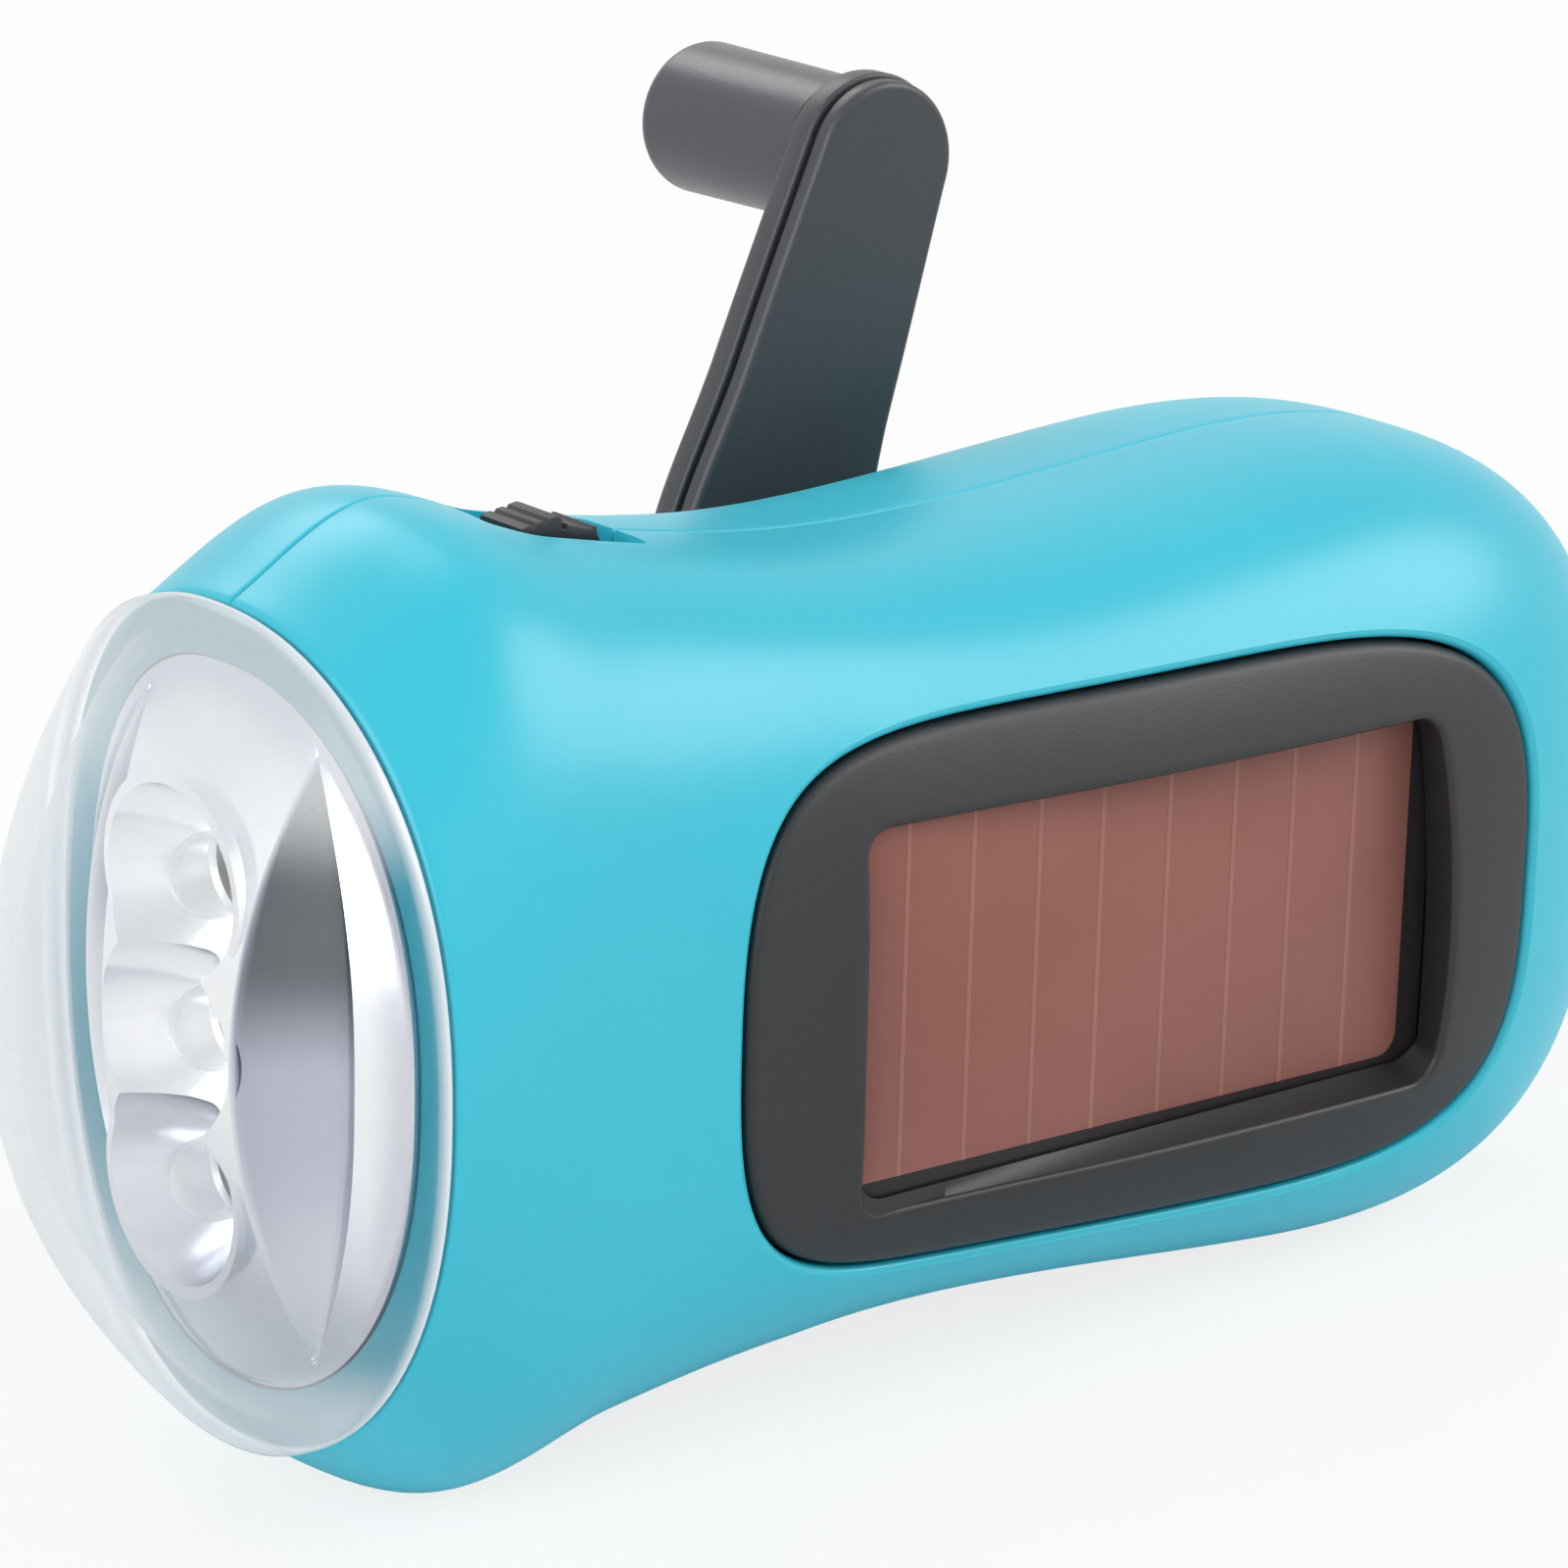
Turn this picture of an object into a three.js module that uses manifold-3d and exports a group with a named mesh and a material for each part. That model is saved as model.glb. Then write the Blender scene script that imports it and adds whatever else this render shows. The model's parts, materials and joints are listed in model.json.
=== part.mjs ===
// A hand crank flashlight: a peanut-shaped housing in two halves, three lamps behind a clear dome at one end,
// a solar panel in one side, a fold-out crank on the other side, and a slide switch on the top edge.
// The crank turns a gear train that drives a small generator. Sizes are in millimetres.
//
// The model is drawn in the torch's own frame: X runs from the front edge of the housing to its rear end,
// Y from the panel side to the crank side, and Z up to the switch. The last lines stand it on the ground.
import * as THREE from "three";
import { mergeVertices } from "three/addons/utils/BufferGeometryUtils.js";
import Module from "manifold-3d";

const wasm = await Module();
wasm.setup();

// Shared clearances
const seatGap = 0.3;
const runningGap = 0.3;
const cutOverrun = 6;

// Housing
const bodyLength = 100.5;

// Places and long sizes that follow the housing's length, as shares of it
const headShare = 0.08955;
const neckShare = 0.199;
const waistShare = 0.34826;
const gripShare = 0.73632;
const waistDepthShare = 0.26866;
const gripDepthShare = 0.53731;
const rearCapShare = 0.70149;
const sectionBlendShare = 0.32836;
const frontSweepFadeShare = 0.23881;
const windowFrontShare = 0.3204;
const windowLengthShare = 0.43383;
const bezelFrontShare = 0.23383;
const bezelLengthShare = 0.6;
const switchPlaceShare = 0.21194;
const crankPlaceShare = 0.50746;
const crankThrowShare = 0.41493;
const gearModuleShare = 0.0069652;
const boardFrontShare = 0.25871;
const boardLengthShare = 0.29851;
const batteryPlaceShare = 0.35821;
const headScrewShare = 0.1194;
const gripScrewShare = 0.65672;

// Half sizes of the housing's sections along the length
const frontHalfHeight = 24.6;
const headHalfHeight = 29.2;
const neckHalfHeight = 26.6;
const waistHalfHeight = 24.1;
const gripHalfHeight = 26;
const rearHalfHeight = 27.8;
const headX = bodyLength * headShare;
const neckX = bodyLength * neckShare;
const waistX = bodyLength * waistShare;
const gripX = bodyLength * gripShare;
const frontHalfDepth = 20.6;
const waistHalfDepth = 18.7;
const gripHalfDepth = 20.5;
const rearHalfDepth = 20.2;
const waistDepthX = bodyLength * waistDepthShare;
const gripDepthX = bodyLength * gripDepthShare;
const rearCapX = bodyLength * rearCapShare;
const rearCapPower = 2.6;
const headSectionPower = 2.23;
const gripSectionPower = 2.88;
const sectionBlendX = bodyLength * sectionBlendShare;
const frontSweepSide = 2.3;
const frontSweepTop = 0.8;
const frontSweepFadeX = bodyLength * frontSweepFadeShare;
const wallThickness = 1.8;
const partingGap = 0.3;
const footDepth = 0.35;
const groundSampleCount = 200;
const groundPassCount = 12;
const bodyStationCount = 22;
const bodySideCount = 40;
const innerStationCount = 18;
const innerSideCount = 28;
const straightStationShare = 0.64;
const stationCrowding = 1.3;

// Clear lens over the front opening
const lensDomeHeight = 10.8;
const lensRimHeight = 1;
const lensThickness = 1.6;
const lensFitGap = 0.5;
const lensSkirtDepth = 3;
const lensSkirtThickness = 1.1;
const lensRingCount = 5;
const lensSideCount = 36;

// Mirror-finished reflector with three cups in a column
const reflectorInset = 3.6;
const reflectorDomeHeight = 4.8;
const reflectorThickness = 1;
const reflectorSetback = 0.4;
const reflectorFlangeDepth = 3;
const reflectorScoopDepth = 2.6;
const reflectorScoopWidthShare = 0.36;
const reflectorScoopPlaceShare = 0.6;
const reflectorRingCount = 5;
const reflectorSideCount = 28;
const cupPitch = 9;
const cupMouthRadius = 5.7;
const cupBaseRadius = 3;
const cupDepth = 8.5;
const cupMouthX = -3.8;
const cupWall = 0.9;
const cupSideCount = 18;
const cupStepCount = 3;

// Lamps and their board
const lampRadius = 2.5;
const lampLength = 7.4;
const lampCollarRadius = 2.8;
const lampCollarHeight = 1;
const lampSideCount = 14;
const lampTipStepCount = 3;
const lampBoardThickness = 1.2;
const lampBoardMargin = 6.5;
const lampBoardHeight = 2 * (cupPitch + lampBoardMargin);
const lampBoardWidth = 12;

// Solar panel and its bezel, in the panel side
const windowFrontX = bodyLength * windowFrontShare;
const windowLength = bodyLength * windowLengthShare;
const windowHeight = 22.7;
const windowCentreZ = -0.7;
const windowDraft = 0.75;
const windowRearBow = 1.1;
const windowCornerRadius = 1.4;
const windowCornerCount = 3;
const panelDepthBelowSide = 3.1;
const panelThickness = 1.4;
const panelLedge = 1.2;
const panelPadInset = 3;
const bezelFrontX = bodyLength * bezelFrontShare;
const bezelLength = bodyLength * bezelLengthShare;
const bezelFrontHalfHeight = 16.1;
const bezelRearHalfHeight = 17.7;
const bezelCentreZ = -0.5;
const bezelFrontPowers = [6, 2.7];
const bezelRearPowers = [4.2, 3.4];
const bezelProud = 0.25;
const bezelDepth = 5.8;
const bezelQuarterCount = 9;
const trayThickness = 1.2;

// Slide switch on the top edge, in a flat recess on the slope behind the head
const switchX = bodyLength * switchPlaceShare;
const switchRecessLength = 11.8;
const switchRecessWidth = 7;
const switchRecessDepth = 1;
const switchSlotWidth = 3.2;
const switchTravel = 3.2;
const sliderRearRoom = 2.1;
const sliderLength = 6;
const sliderWidth = 4.2;
const sliderHeight = 1.7;
const sliderNeckLength = 2.4;
const sliderNeckWidth = 2.4;
const switchBodyLength = 9;
const switchBodyWidth = 7;
const switchBodyHeight = 4.2;
const switchBodyDrop = 1.3;

// Crank: hub, axle, hinged arm and knob
const crankX = bodyLength * crankPlaceShare;
const crankTiltDegrees = 19;
const armFaceGap = 2.1;
const armThickness = 3.8;
const armCoverThickness = 1;
const armCoverInset = 0.35;
const crankThrow = bodyLength * crankThrowShare;
const hingeOffset = 5.5;
const armKnobRadius = 5.6;
const armHingeHalfWidth = 7.2;
const armMiddleHalfWidth = 6.6;
const armShoulderLength = 3.5;
const armShoulderInset = 0.9;
const armStartOffset = 3;
const armOutlineCount = 10;
const barrelRadius = 1.9;
const barrelHalfWidth = 3.8;
const hingePinRadius = 0.8;
const hingePinGap = 0.2;
const earRadius = 2.1;
const earThickness = 2.2;
const hubRadius = 11;
const hubThickness = 3.2;
const hubToArmGap = 0.4;
const hubSideCount = 30;
const hubEdgeBevel = 0.6;
const hubCapThickness = 1;
const knobRadius = 4.85;
const knobFreeRadius = 5.05;
const knobLength = 16.4;
const knobEdgeRadius = 1.3;
const knobEndThickness = 2.4;
const knobPinRadius = 2.2;
const knobPinHeadRadius = 3.2;
const knobPinHeadHeight = 0.8;
const knobSideCount = 24;
const knobEdgeStepCount = 3;
const axleRadius = 1.6;
const axleSideCount = 14;
const boreGap = 0.15;
const bushWall = 0.9;
const bushFlangeRadius = 4;
const bushFlangeThickness = 0.6;

// Pocket in the head of the crank side that takes the knob when the crank is folded away
const pocketClearance = 0.8;
const pocketEndClearance = 1;
const pocketWall = 1.3;
const pocketSideCount = 16;

// Gear train: three pairs, each wheel driving the next pinion
const gearModule = bodyLength * gearModuleShare;
const pressureAngleDegrees = 20;
const driveTeeth = 40;
const firstPinionTeeth = 11;
const firstWheelTeeth = 34;
const secondPinionTeeth = 10;
const secondWheelTeeth = 30;
const rotorPinionTeeth = 9;
const gearBacklash = 0.2;
const gearTipShare = 0.8;
const gearRootShare = 1.15;
const gearFaceWidth = 2.2;
const gearLevelGap = 0.7;
const gearTopGap = 1.2;
const gearPinRadius = 0.75;
const firstGearDegrees = 4;
const secondGearDegrees = 30;
const rotorGearDegrees = 250;
const gearPinSideCount = 10;

// Mounting plate, generator, electronics
const plateThickness = 1.2;
const plateMargin = 3;
const plateCornerCount = 12;
const generatorRadius = 8;
const generatorLength = 9.5;
const generatorWall = 0.8;
const generatorSideCount = 20;
const rotorMagnetRadius = 4.6;
const rotorMagnetLength = 5;
const rotorShaftRadius = 0.75;
const postRadius = 2.2;
const postSideCount = 8;
const postDegrees = 60;
const rearPostDegrees = -62;
const plateScrewHeadRadius = 1.6;
const plateScrewHeadHeight = 1;
const plateScrewRadius = 0.8;
const plateScrewLength = 5;
const boardThickness = 1.2;
const boardLength = bodyLength * boardLengthShare;
const boardHeight = 20;
const boardFrontX = bodyLength * boardFrontShare;
const boardDropFromMiddle = 8;
const boardPostRadius = 1.6;
const boardPostInset = 3;
const batteryRadius = 5.8;
const batteryLength = 15;
const batteryX = bodyLength * batteryPlaceShare;
const batteryWaistDepth = 0.5;
const batteryCellCount = 3;
const batterySideCount = 16;

// Housing screws, driven from the crank side
const headScrewX = bodyLength * headScrewShare;
const headScrewZ = 19.5;
const gripScrewX = bodyLength * gripScrewShare;
const gripScrewZ = 18.8;
const screwRadius = 1.1;
const screwHeadRadius = 2.1;
const screwHeadHeight = 1.5;
const screwLength = 20;
const screwSlotWidth = 0.7;
const screwSlotDepth = 0.6;
const screwSeatDepth = 7.2;
const screwTipRoom = 1.2;
const screwWellGap = 0.4;
const screwBossWall = 1.3;
const screwSideCount = 10;

// Colours and finishes
const finishes = {
  shell: { color: "#59c8dc", roughness: 0.42, metalness: 0 },
  lens: { color: "#e8eef2", roughness: 0.08, metalness: 0, transparent: true, opacity: 0.35 },
  mirror: { color: "#dfe2e6", roughness: 0.15, metalness: 1 },
  lamp: { color: "#e6eaec", roughness: 0.1, metalness: 0 },
  blackPlastic: { color: "#45484b", roughness: 0.5, metalness: 0 },
  solarCell: { color: "#8d5c54", roughness: 0.3, metalness: 0 },
  steel: { color: "#a9adb1", roughness: 0.35, metalness: 1 },
  brass: { color: "#b89a56", roughness: 0.35, metalness: 1 },
  gearPlastic: { color: "#e9e6dc", roughness: 0.5, metalness: 0 },
  circuitBoard: { color: "#2c6b43", roughness: 0.5, metalness: 0 },
  battery: { color: "#3f7d4c", roughness: 0.45, metalness: 0 },
};

const degrees = Math.PI / 180;
const crankTilt = crankTiltDegrees * degrees;

// Solids: closed meshes that can be joined and cut
function solidOf(geometry) {
  geometry.deleteAttribute("normal");
  geometry.deleteAttribute("uv");
  const merged = mergeVertices(geometry);
  const triVerts = new Uint32Array(merged.index.array);
  const make = () =>
    new wasm.Manifold(
      new wasm.Mesh({ numProp: 3, vertProperties: merged.attributes.position.array, triVerts }),
    );
  const made = make();
  if (made.volume() >= 0) return made;
  for (let i = 0; i < triVerts.length; i += 3) {
    [triVerts[i], triVerts[i + 1]] = [triVerts[i + 1], triVerts[i]];
  }
  return make();
}

function geometryOf(solid) {
  const mesh = solid.getMesh();
  const geometry = new THREE.BufferGeometry();
  geometry.setAttribute("position", new THREE.BufferAttribute(mesh.vertProperties, 3));
  geometry.setIndex(new THREE.BufferAttribute(mesh.triVerts, 1));
  const faceted = geometry.toNonIndexed();
  faceted.computeVertexNormals();
  return faceted;
}

const joined = (...solids) => solids.reduce((sum, solid) => sum.add(solid));
const cut = (solid, ...tools) => tools.reduce((rest, tool) => rest.subtract(tool), solid);
const point = (x, y, z) => new THREE.Vector3(x, y, z);

// A solid skinned over rings of points, closed at each end by a fan to its pole
function loft(rings, startPole, endPole) {
  const sides = rings[0].length;
  const points = [startPole, ...rings.flat(), endPole];
  const index = [];
  const at = (ring, side) => 1 + ring * sides + (side % sides);
  const last = points.length - 1;
  for (let side = 0; side < sides; side++) {
    index.push(0, at(0, side + 1), at(0, side));
    index.push(last, at(rings.length - 1, side), at(rings.length - 1, side + 1));
    for (let ring = 0; ring < rings.length - 1; ring++) {
      index.push(at(ring, side), at(ring, side + 1), at(ring + 1, side));
      index.push(at(ring + 1, side), at(ring, side + 1), at(ring + 1, side + 1));
    }
  }
  const geometry = new THREE.BufferGeometry().setFromPoints(points);
  geometry.setIndex(index);
  return solidOf(geometry);
}

// A box between two opposite corners
function block(low, high) {
  const size = high.clone().sub(low);
  const middle = low.clone().add(high).multiplyScalar(1 / 2);
  return solidOf(new THREE.BoxGeometry(size.x, size.y, size.z).translate(middle.x, middle.y, middle.z));
}

// A turned solid: the profile holds [radius, place along the axis] pairs and begins and ends on the axis
function turnedGeometry(profile, sides) {
  return new THREE.LatheGeometry(profile.map(([r, along]) => new THREE.Vector2(r, along)), sides);
}

function turnedAlongY(profile, sides, centre) {
  return solidOf(turnedGeometry(profile, sides).translate(centre.x, 0, centre.z));
}

function turnedAlongX(profile, sides, centre) {
  return solidOf(turnedGeometry(profile, sides).rotateZ(-Math.PI / 2).translate(0, centre.y, centre.z));
}

// A plain round bar along Y
function bar(radius, lowY, highY, sides, centre) {
  return turnedAlongY([[0, lowY], [radius, lowY], [radius, highY], [0, highY]], sides, centre);
}

// A flat outline in X and Z, given thickness along Y
function slab(outline, lowY, highY) {
  const shape = new THREE.Shape(outline.map(([x, z]) => new THREE.Vector2(x, z)));
  const geometry = new THREE.ExtrudeGeometry(shape, { depth: highY - lowY, bevelEnabled: false });
  return solidOf(geometry.rotateX(Math.PI / 2).translate(0, highY, 0));
}

// Points of an arc about a centre
function arc(centreX, centreZ, radius, fromAngle, toAngle, steps) {
  return Array.from({ length: steps + 1 }, (_, step) => {
    const angle = fromAngle + ((toAngle - fromAngle) * step) / steps;
    return [centreX + radius * Math.cos(angle), centreZ + radius * Math.sin(angle)];
  });
}

// A smooth curve through points: a cubic between each pair, with the slope of its neighbours at each point
function curveThrough(places, values) {
  const slopeBetween = (i) => (values[i + 1] - values[i]) / (places[i + 1] - places[i]);
  const last = places.length - 1;
  const slopes = places.map((_, i) => {
    if (i === 0) return slopeBetween(0);
    if (i === last) return slopeBetween(last - 1);
    const before = places[i] - places[i - 1];
    const after = places[i + 1] - places[i];
    return (slopeBetween(i - 1) * after + slopeBetween(i) * before) / (before + after);
  });
  return (place) => {
    const held = Math.min(Math.max(place, places[0]), places[last]);
    const i = Math.max(places.findLastIndex((p, k) => p <= held && k < last), 0);
    const span = places[i + 1] - places[i];
    const t = (held - places[i]) / span;
    return (
      values[i] * (1 + 2 * t) * (1 - t) ** 2 +
      values[i + 1] * t * t * (3 - 2 * t) +
      span * t * (1 - t) * (slopes[i] * (1 - t) - slopes[i + 1] * t)
    );
  };
}

// Housing form
const halfHeightAt = curveThrough(
  [0, headX, neckX, waistX, gripX, bodyLength],
  [frontHalfHeight, headHalfHeight, neckHalfHeight, waistHalfHeight, gripHalfHeight, rearHalfHeight],
);
const halfDepthAt = curveThrough(
  [0, waistDepthX, gripDepthX, bodyLength],
  [frontHalfDepth, waistHalfDepth, gripHalfDepth, rearHalfDepth],
);
const sectionPowerAt = curveThrough([0, sectionBlendX], [headSectionPower, gripSectionPower]);

const signedPower = (value, power) => Math.sign(value) * Math.abs(value) ** power;

// The section's outline at one turn angle, in shares of its half depth and half height
function sectionPoint(angle, power) {
  return [signedPower(Math.cos(angle), 2 / power), signedPower(Math.sin(angle), 2 / power)];
}

// How far the front edge is swept back where a section point lies off the axis
const frontSweep = (depthShare, heightShare) =>
  frontSweepSide * depthShare ** 2 + frontSweepTop * heightShare ** 2;

const sweepFade = (x) => Math.max(1 - Math.max(x, 0) / frontSweepFadeX, 0) ** 2;

// One ring of the housing's surface, drawn in by an inset and scaled down towards the rear end
function bodyRing(x, scale, inset, sides) {
  const power = sectionPowerAt(x);
  return Array.from({ length: sides }, (_, side) => {
    const [depthShare, heightShare] = sectionPoint((2 * Math.PI * side) / sides, power);
    return point(
      x + frontSweep(depthShare, heightShare) * sweepFade(x) * scale,
      (halfDepthAt(x) - inset) * scale * depthShare,
      (halfHeightAt(x) - inset) * scale * heightShare,
    );
  });
}

// The housing's whole form, from its front edge (or an overrun before it) to the closed rear end
function bodyForm(inset, overrun, stations, sides) {
  const straight = Math.round(stations * straightStationShare);
  const capped = stations - straight;
  const capLength = bodyLength - inset - rearCapX;
  const rings = overrun > 0 ? [bodyRing(-overrun, 1, inset, sides)] : [];
  for (let i = 0; i <= straight; i++) {
    rings.push(bodyRing(rearCapX * (i / straight) ** stationCrowding, 1, inset, sides));
  }
  for (let i = 1; i < capped; i++) {
    const angle = (i / capped) * (Math.PI / 2);
    const x = rearCapX + capLength * Math.sin(angle) ** (2 / rearCapPower);
    rings.push(bodyRing(x, Math.cos(angle) ** (2 / rearCapPower), inset, sides));
  }
  return loft(rings, point(-overrun, 0, 0), point(rearCapX + capLength, 0, 0));
}

// The line that the torch stands on: it touches the head and the grip from below
function groundLine() {
  const capScale = (x) => {
    const along = Math.max(x - rearCapX, 0) / (bodyLength - rearCapX);
    return (1 - along ** rearCapPower) ** (1 / rearCapPower);
  };
  const lowest = (fromX, toX, slope) => {
    const step = (toX - fromX) / groundSampleCount;
    const places = Array.from({ length: groundSampleCount + 1 }, (_, i) => fromX + step * i);
    const reach = (x) => halfHeightAt(x) * capScale(x) + slope * x;
    return places.reduce((best, x) => (reach(x) > reach(best) ? x : best));
  };
  const drop = (x) => halfHeightAt(x) * capScale(x);
  let slope = 0;
  let head = headX;
  for (let pass = 0; pass < groundPassCount; pass++) {
    head = lowest(0, waistX, slope);
    const grip = lowest(waistX, bodyLength, slope);
    slope = (drop(head) - drop(grip)) / (grip - head);
  }
  return { slope, z: (x) => -drop(head) + slope * (x - head) + footDepth };
}
const ground = groundLine();
const standAngle = Math.atan(ground.slope);
const farReach = bodyLength + cutOverrun;

// Everything below the ground line, which leaves a narrow flat foot under the head and under the grip
function underGround() {
  const slabSize = 2 * farReach;
  const geometry = new THREE.BoxGeometry(slabSize, slabSize, slabSize).translate(0, 0, -farReach);
  return solidOf(geometry.rotateY(-standAngle).translate(0, 0, ground.z(0)));
}

// Places along Y on the crank side, from the arm inwards
const sideY = halfDepthAt(crankX);
const armInnerY = sideY + armFaceGap;
const armOuterY = armInnerY + armThickness;
const armMiddleY = (armInnerY + armOuterY) / 2;
const hubOuterY = armInnerY - hubToArmGap;
const hubInnerY = hubOuterY - hubThickness;
const recessFloorY = hubInnerY - runningGap;
const recessInnerY = recessFloorY - wallThickness;
const levelOuterY = (level) => recessInnerY - gearTopGap - level * (gearFaceWidth + gearLevelGap);
const levelInnerY = (level) => levelOuterY(level) - gearFaceWidth;
const plateOuterY = levelInnerY(2) - gearLevelGap;
const plateInnerY = plateOuterY - plateThickness;
const generatorOuterY = plateInnerY - seatGap;
const generatorInnerY = generatorOuterY - generatorLength;

// Centres of the gear train in X and Z
const pitchRadius = (teeth) => (gearModule * teeth) / 2;
const stepFrom = (centre, distance, angle) =>
  point(centre.x + distance * Math.cos(angle), 0, centre.z + distance * Math.sin(angle));
const crankCentre = point(crankX, 0, 0);
const firstDirection = firstGearDegrees * degrees;
const secondDirection = secondGearDegrees * degrees;
const rotorDirection = rotorGearDegrees * degrees;
const firstCentre = stepFrom(
  crankCentre,
  pitchRadius(driveTeeth) + pitchRadius(firstPinionTeeth),
  firstDirection,
);
const secondCentre = stepFrom(
  firstCentre,
  pitchRadius(firstWheelTeeth) + pitchRadius(secondPinionTeeth),
  secondDirection,
);
const rotorCentre = stepFrom(
  secondCentre,
  pitchRadius(secondWheelTeeth) + pitchRadius(rotorPinionTeeth),
  rotorDirection,
);

// Involute gear outline with a tooth centred on the given direction
function gearOutline(teeth, toothDirection, centre) {
  const pitch = pitchRadius(teeth);
  const base = pitch * Math.cos(pressureAngleDegrees * degrees);
  const along = (radius, angle) => [centre.x + radius * Math.cos(angle), centre.z + radius * Math.sin(angle)];
  const root = pitch - gearRootShare * gearModule;
  const tip = pitch + gearTipShare * gearModule;
  const roll = (radius) => {
    const ratio = Math.max(radius / base, 1);
    return Math.sqrt(ratio * ratio - 1) - Math.acos(1 / ratio);
  };
  const halfTooth = Math.PI / (2 * teeth) - gearBacklash / (2 * pitch);
  const halfAngle = (radius) => halfTooth + roll(pitch) - roll(radius);
  const flank = [root, pitch, tip];
  const outline = [];
  for (let tooth = 0; tooth < teeth; tooth++) {
    const middle = toothDirection + (2 * Math.PI * tooth) / teeth;
    flank.forEach((radius) => outline.push(along(radius, middle - halfAngle(radius))));
    [...flank].reverse().forEach((radius) => outline.push(along(radius, middle + halfAngle(radius))));
  }
  return outline;
}

// A toothed wheel on one level, with a tooth or a gap facing its partner
function gear(teeth, direction, facesWithGap, outerY, innerY, centre) {
  const toothDirection = direction + (facesWithGap ? Math.PI / teeth : 0);
  return slab(gearOutline(teeth, toothDirection, centre), innerY, outerY);
}

// Knob place when the crank is folded away: the arm points forwards and is turned over its hinge
const pocketCentre = point(crankX - (crankThrow - 2 * hingeOffset), 0, 0);
const knobInnerY = armOuterY + runningGap;
const knobOuterY = knobInnerY + knobLength;
const pocketRadius = knobFreeRadius + pocketClearance;
const pocketFloorY = 2 * armMiddleY - knobOuterY - pocketEndClearance;

// Screw places, with the seat that their heads draw down on
const screwPlaces = {
  housing_screw_head_top: point(headScrewX, 0, headScrewZ),
  housing_screw_head_bottom: point(headScrewX, 0, -headScrewZ),
  housing_screw_grip_top: point(gripScrewX, 0, gripScrewZ),
  housing_screw_grip_bottom: point(gripScrewX, 0, -gripScrewZ),
};
const screwSeatY = sideY - screwSeatDepth;
const wellRadius = screwHeadRadius + screwWellGap;
const screwBossRadius = screwRadius + boreGap + screwBossWall;

// Posts that carry the gear plate, just clear of the gears
const gearTip = (teeth) => pitchRadius(teeth) + gearModule * gearTipShare;
const clearOfGear = (teeth) => gearTip(teeth) + runningGap + postRadius;
const postPlaces = {
  plate_screw_top: stepFrom(crankCentre, clearOfGear(driveTeeth), postDegrees * degrees),
  plate_screw_bottom: stepFrom(crankCentre, clearOfGear(driveTeeth), -postDegrees * degrees),
  plate_screw_rear: stepFrom(secondCentre, clearOfGear(secondWheelTeeth), rearPostDegrees * degrees),
};

// Places along Y on the panel side
const panelOuterY = -(gripHalfDepth - panelDepthBelowSide);
const panelInnerY = panelOuterY + panelThickness;
const bezelInnerY = -(gripHalfDepth - bezelDepth);
const trayOuterY = bezelInnerY + seatGap;
const trayInnerY = trayOuterY + trayThickness;
const boardOuterY = -boardDropFromMiddle;
const boardInnerY = boardOuterY - boardThickness;

// The bezel's outline: a rounded rectangle whose sides bow, grown or drawn in by an offset
function bezelOutline(offset) {
  const outline = [];
  const middleX = bezelFrontX + bezelLength / 2;
  for (let i = 0; i < 4 * bezelQuarterCount; i++) {
    const angle = (i / bezelQuarterCount) * (Math.PI / 2);
    const [alongPower, heightPower] = Math.cos(angle) > 0 ? bezelRearPowers : bezelFrontPowers;
    const alongShare = signedPower(Math.cos(angle), 2 / alongPower);
    const heightShare = signedPower(Math.sin(angle), 2 / heightPower);
    const rearShare = (alongShare + 1) / 2;
    const halfHeight = bezelFrontHalfHeight + (bezelRearHalfHeight - bezelFrontHalfHeight) * rearShare;
    outline.push([
      middleX + (bezelLength / 2 + offset) * alongShare,
      bezelCentreZ + (halfHeight + offset) * heightShare,
    ]);
  }
  return outline;
}

// A rectangle as X and Z pairs
const rectangle = (lowX, highX, lowZ, highZ) => [[lowX, lowZ], [highX, lowZ], [highX, highZ], [lowX, highZ]];

// The panel's seat, and the panel itself when the gap is zero
function panelOutline(gap) {
  const reach = panelLedge + gap;
  const half = windowHeight / 2 + reach;
  const endX = windowFrontX + windowLength + reach;
  return rectangle(windowFrontX - reach, endX, windowCentreZ - half, windowCentreZ + half);
}

// The window through the bezel: its upper and lower walls slope outwards, and its rear wall bows
function windowTool() {
  const middleX = windowFrontX + windowLength / 2;
  const ring = (y, spread, bow) => {
    const halfX = windowLength / 2 - windowCornerRadius;
    const halfZ = windowHeight / 2 + spread - windowCornerRadius;
    const corner = (signX, signZ, from) =>
      arc(signX * halfX, signZ * halfZ, windowCornerRadius, from, from + Math.PI / 2, windowCornerCount);
    const outline = [
      ...corner(1, 1, 0),
      ...corner(-1, 1, Math.PI / 2),
      ...corner(-1, -1, Math.PI),
      ...corner(1, -1, -Math.PI / 2),
      [windowLength / 2, 0],
    ];
    return outline.map(([x, z]) => {
      const rearShare = Math.max(x / (windowLength / 2), 0) ** 2;
      const bowed = x + bow * rearShare * (1 - (z / (windowHeight / 2 + spread)) ** 2);
      return point(middleX + bowed, y, windowCentreZ + z);
    });
  };
  const floorY = panelOuterY - seatGap;
  const reach = cutOverrun / panelDepthBelowSide;
  const outerY = floorY - cutOverrun;
  const rings = [
    ring(bezelInnerY, 0, 0),
    ring(floorY, 0, 0),
    ring(outerY, windowDraft * reach, windowRearBow * reach),
  ];
  return loft(rings, point(middleX, bezelInnerY, windowCentreZ), point(middleX, outerY, windowCentreZ));
}

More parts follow.
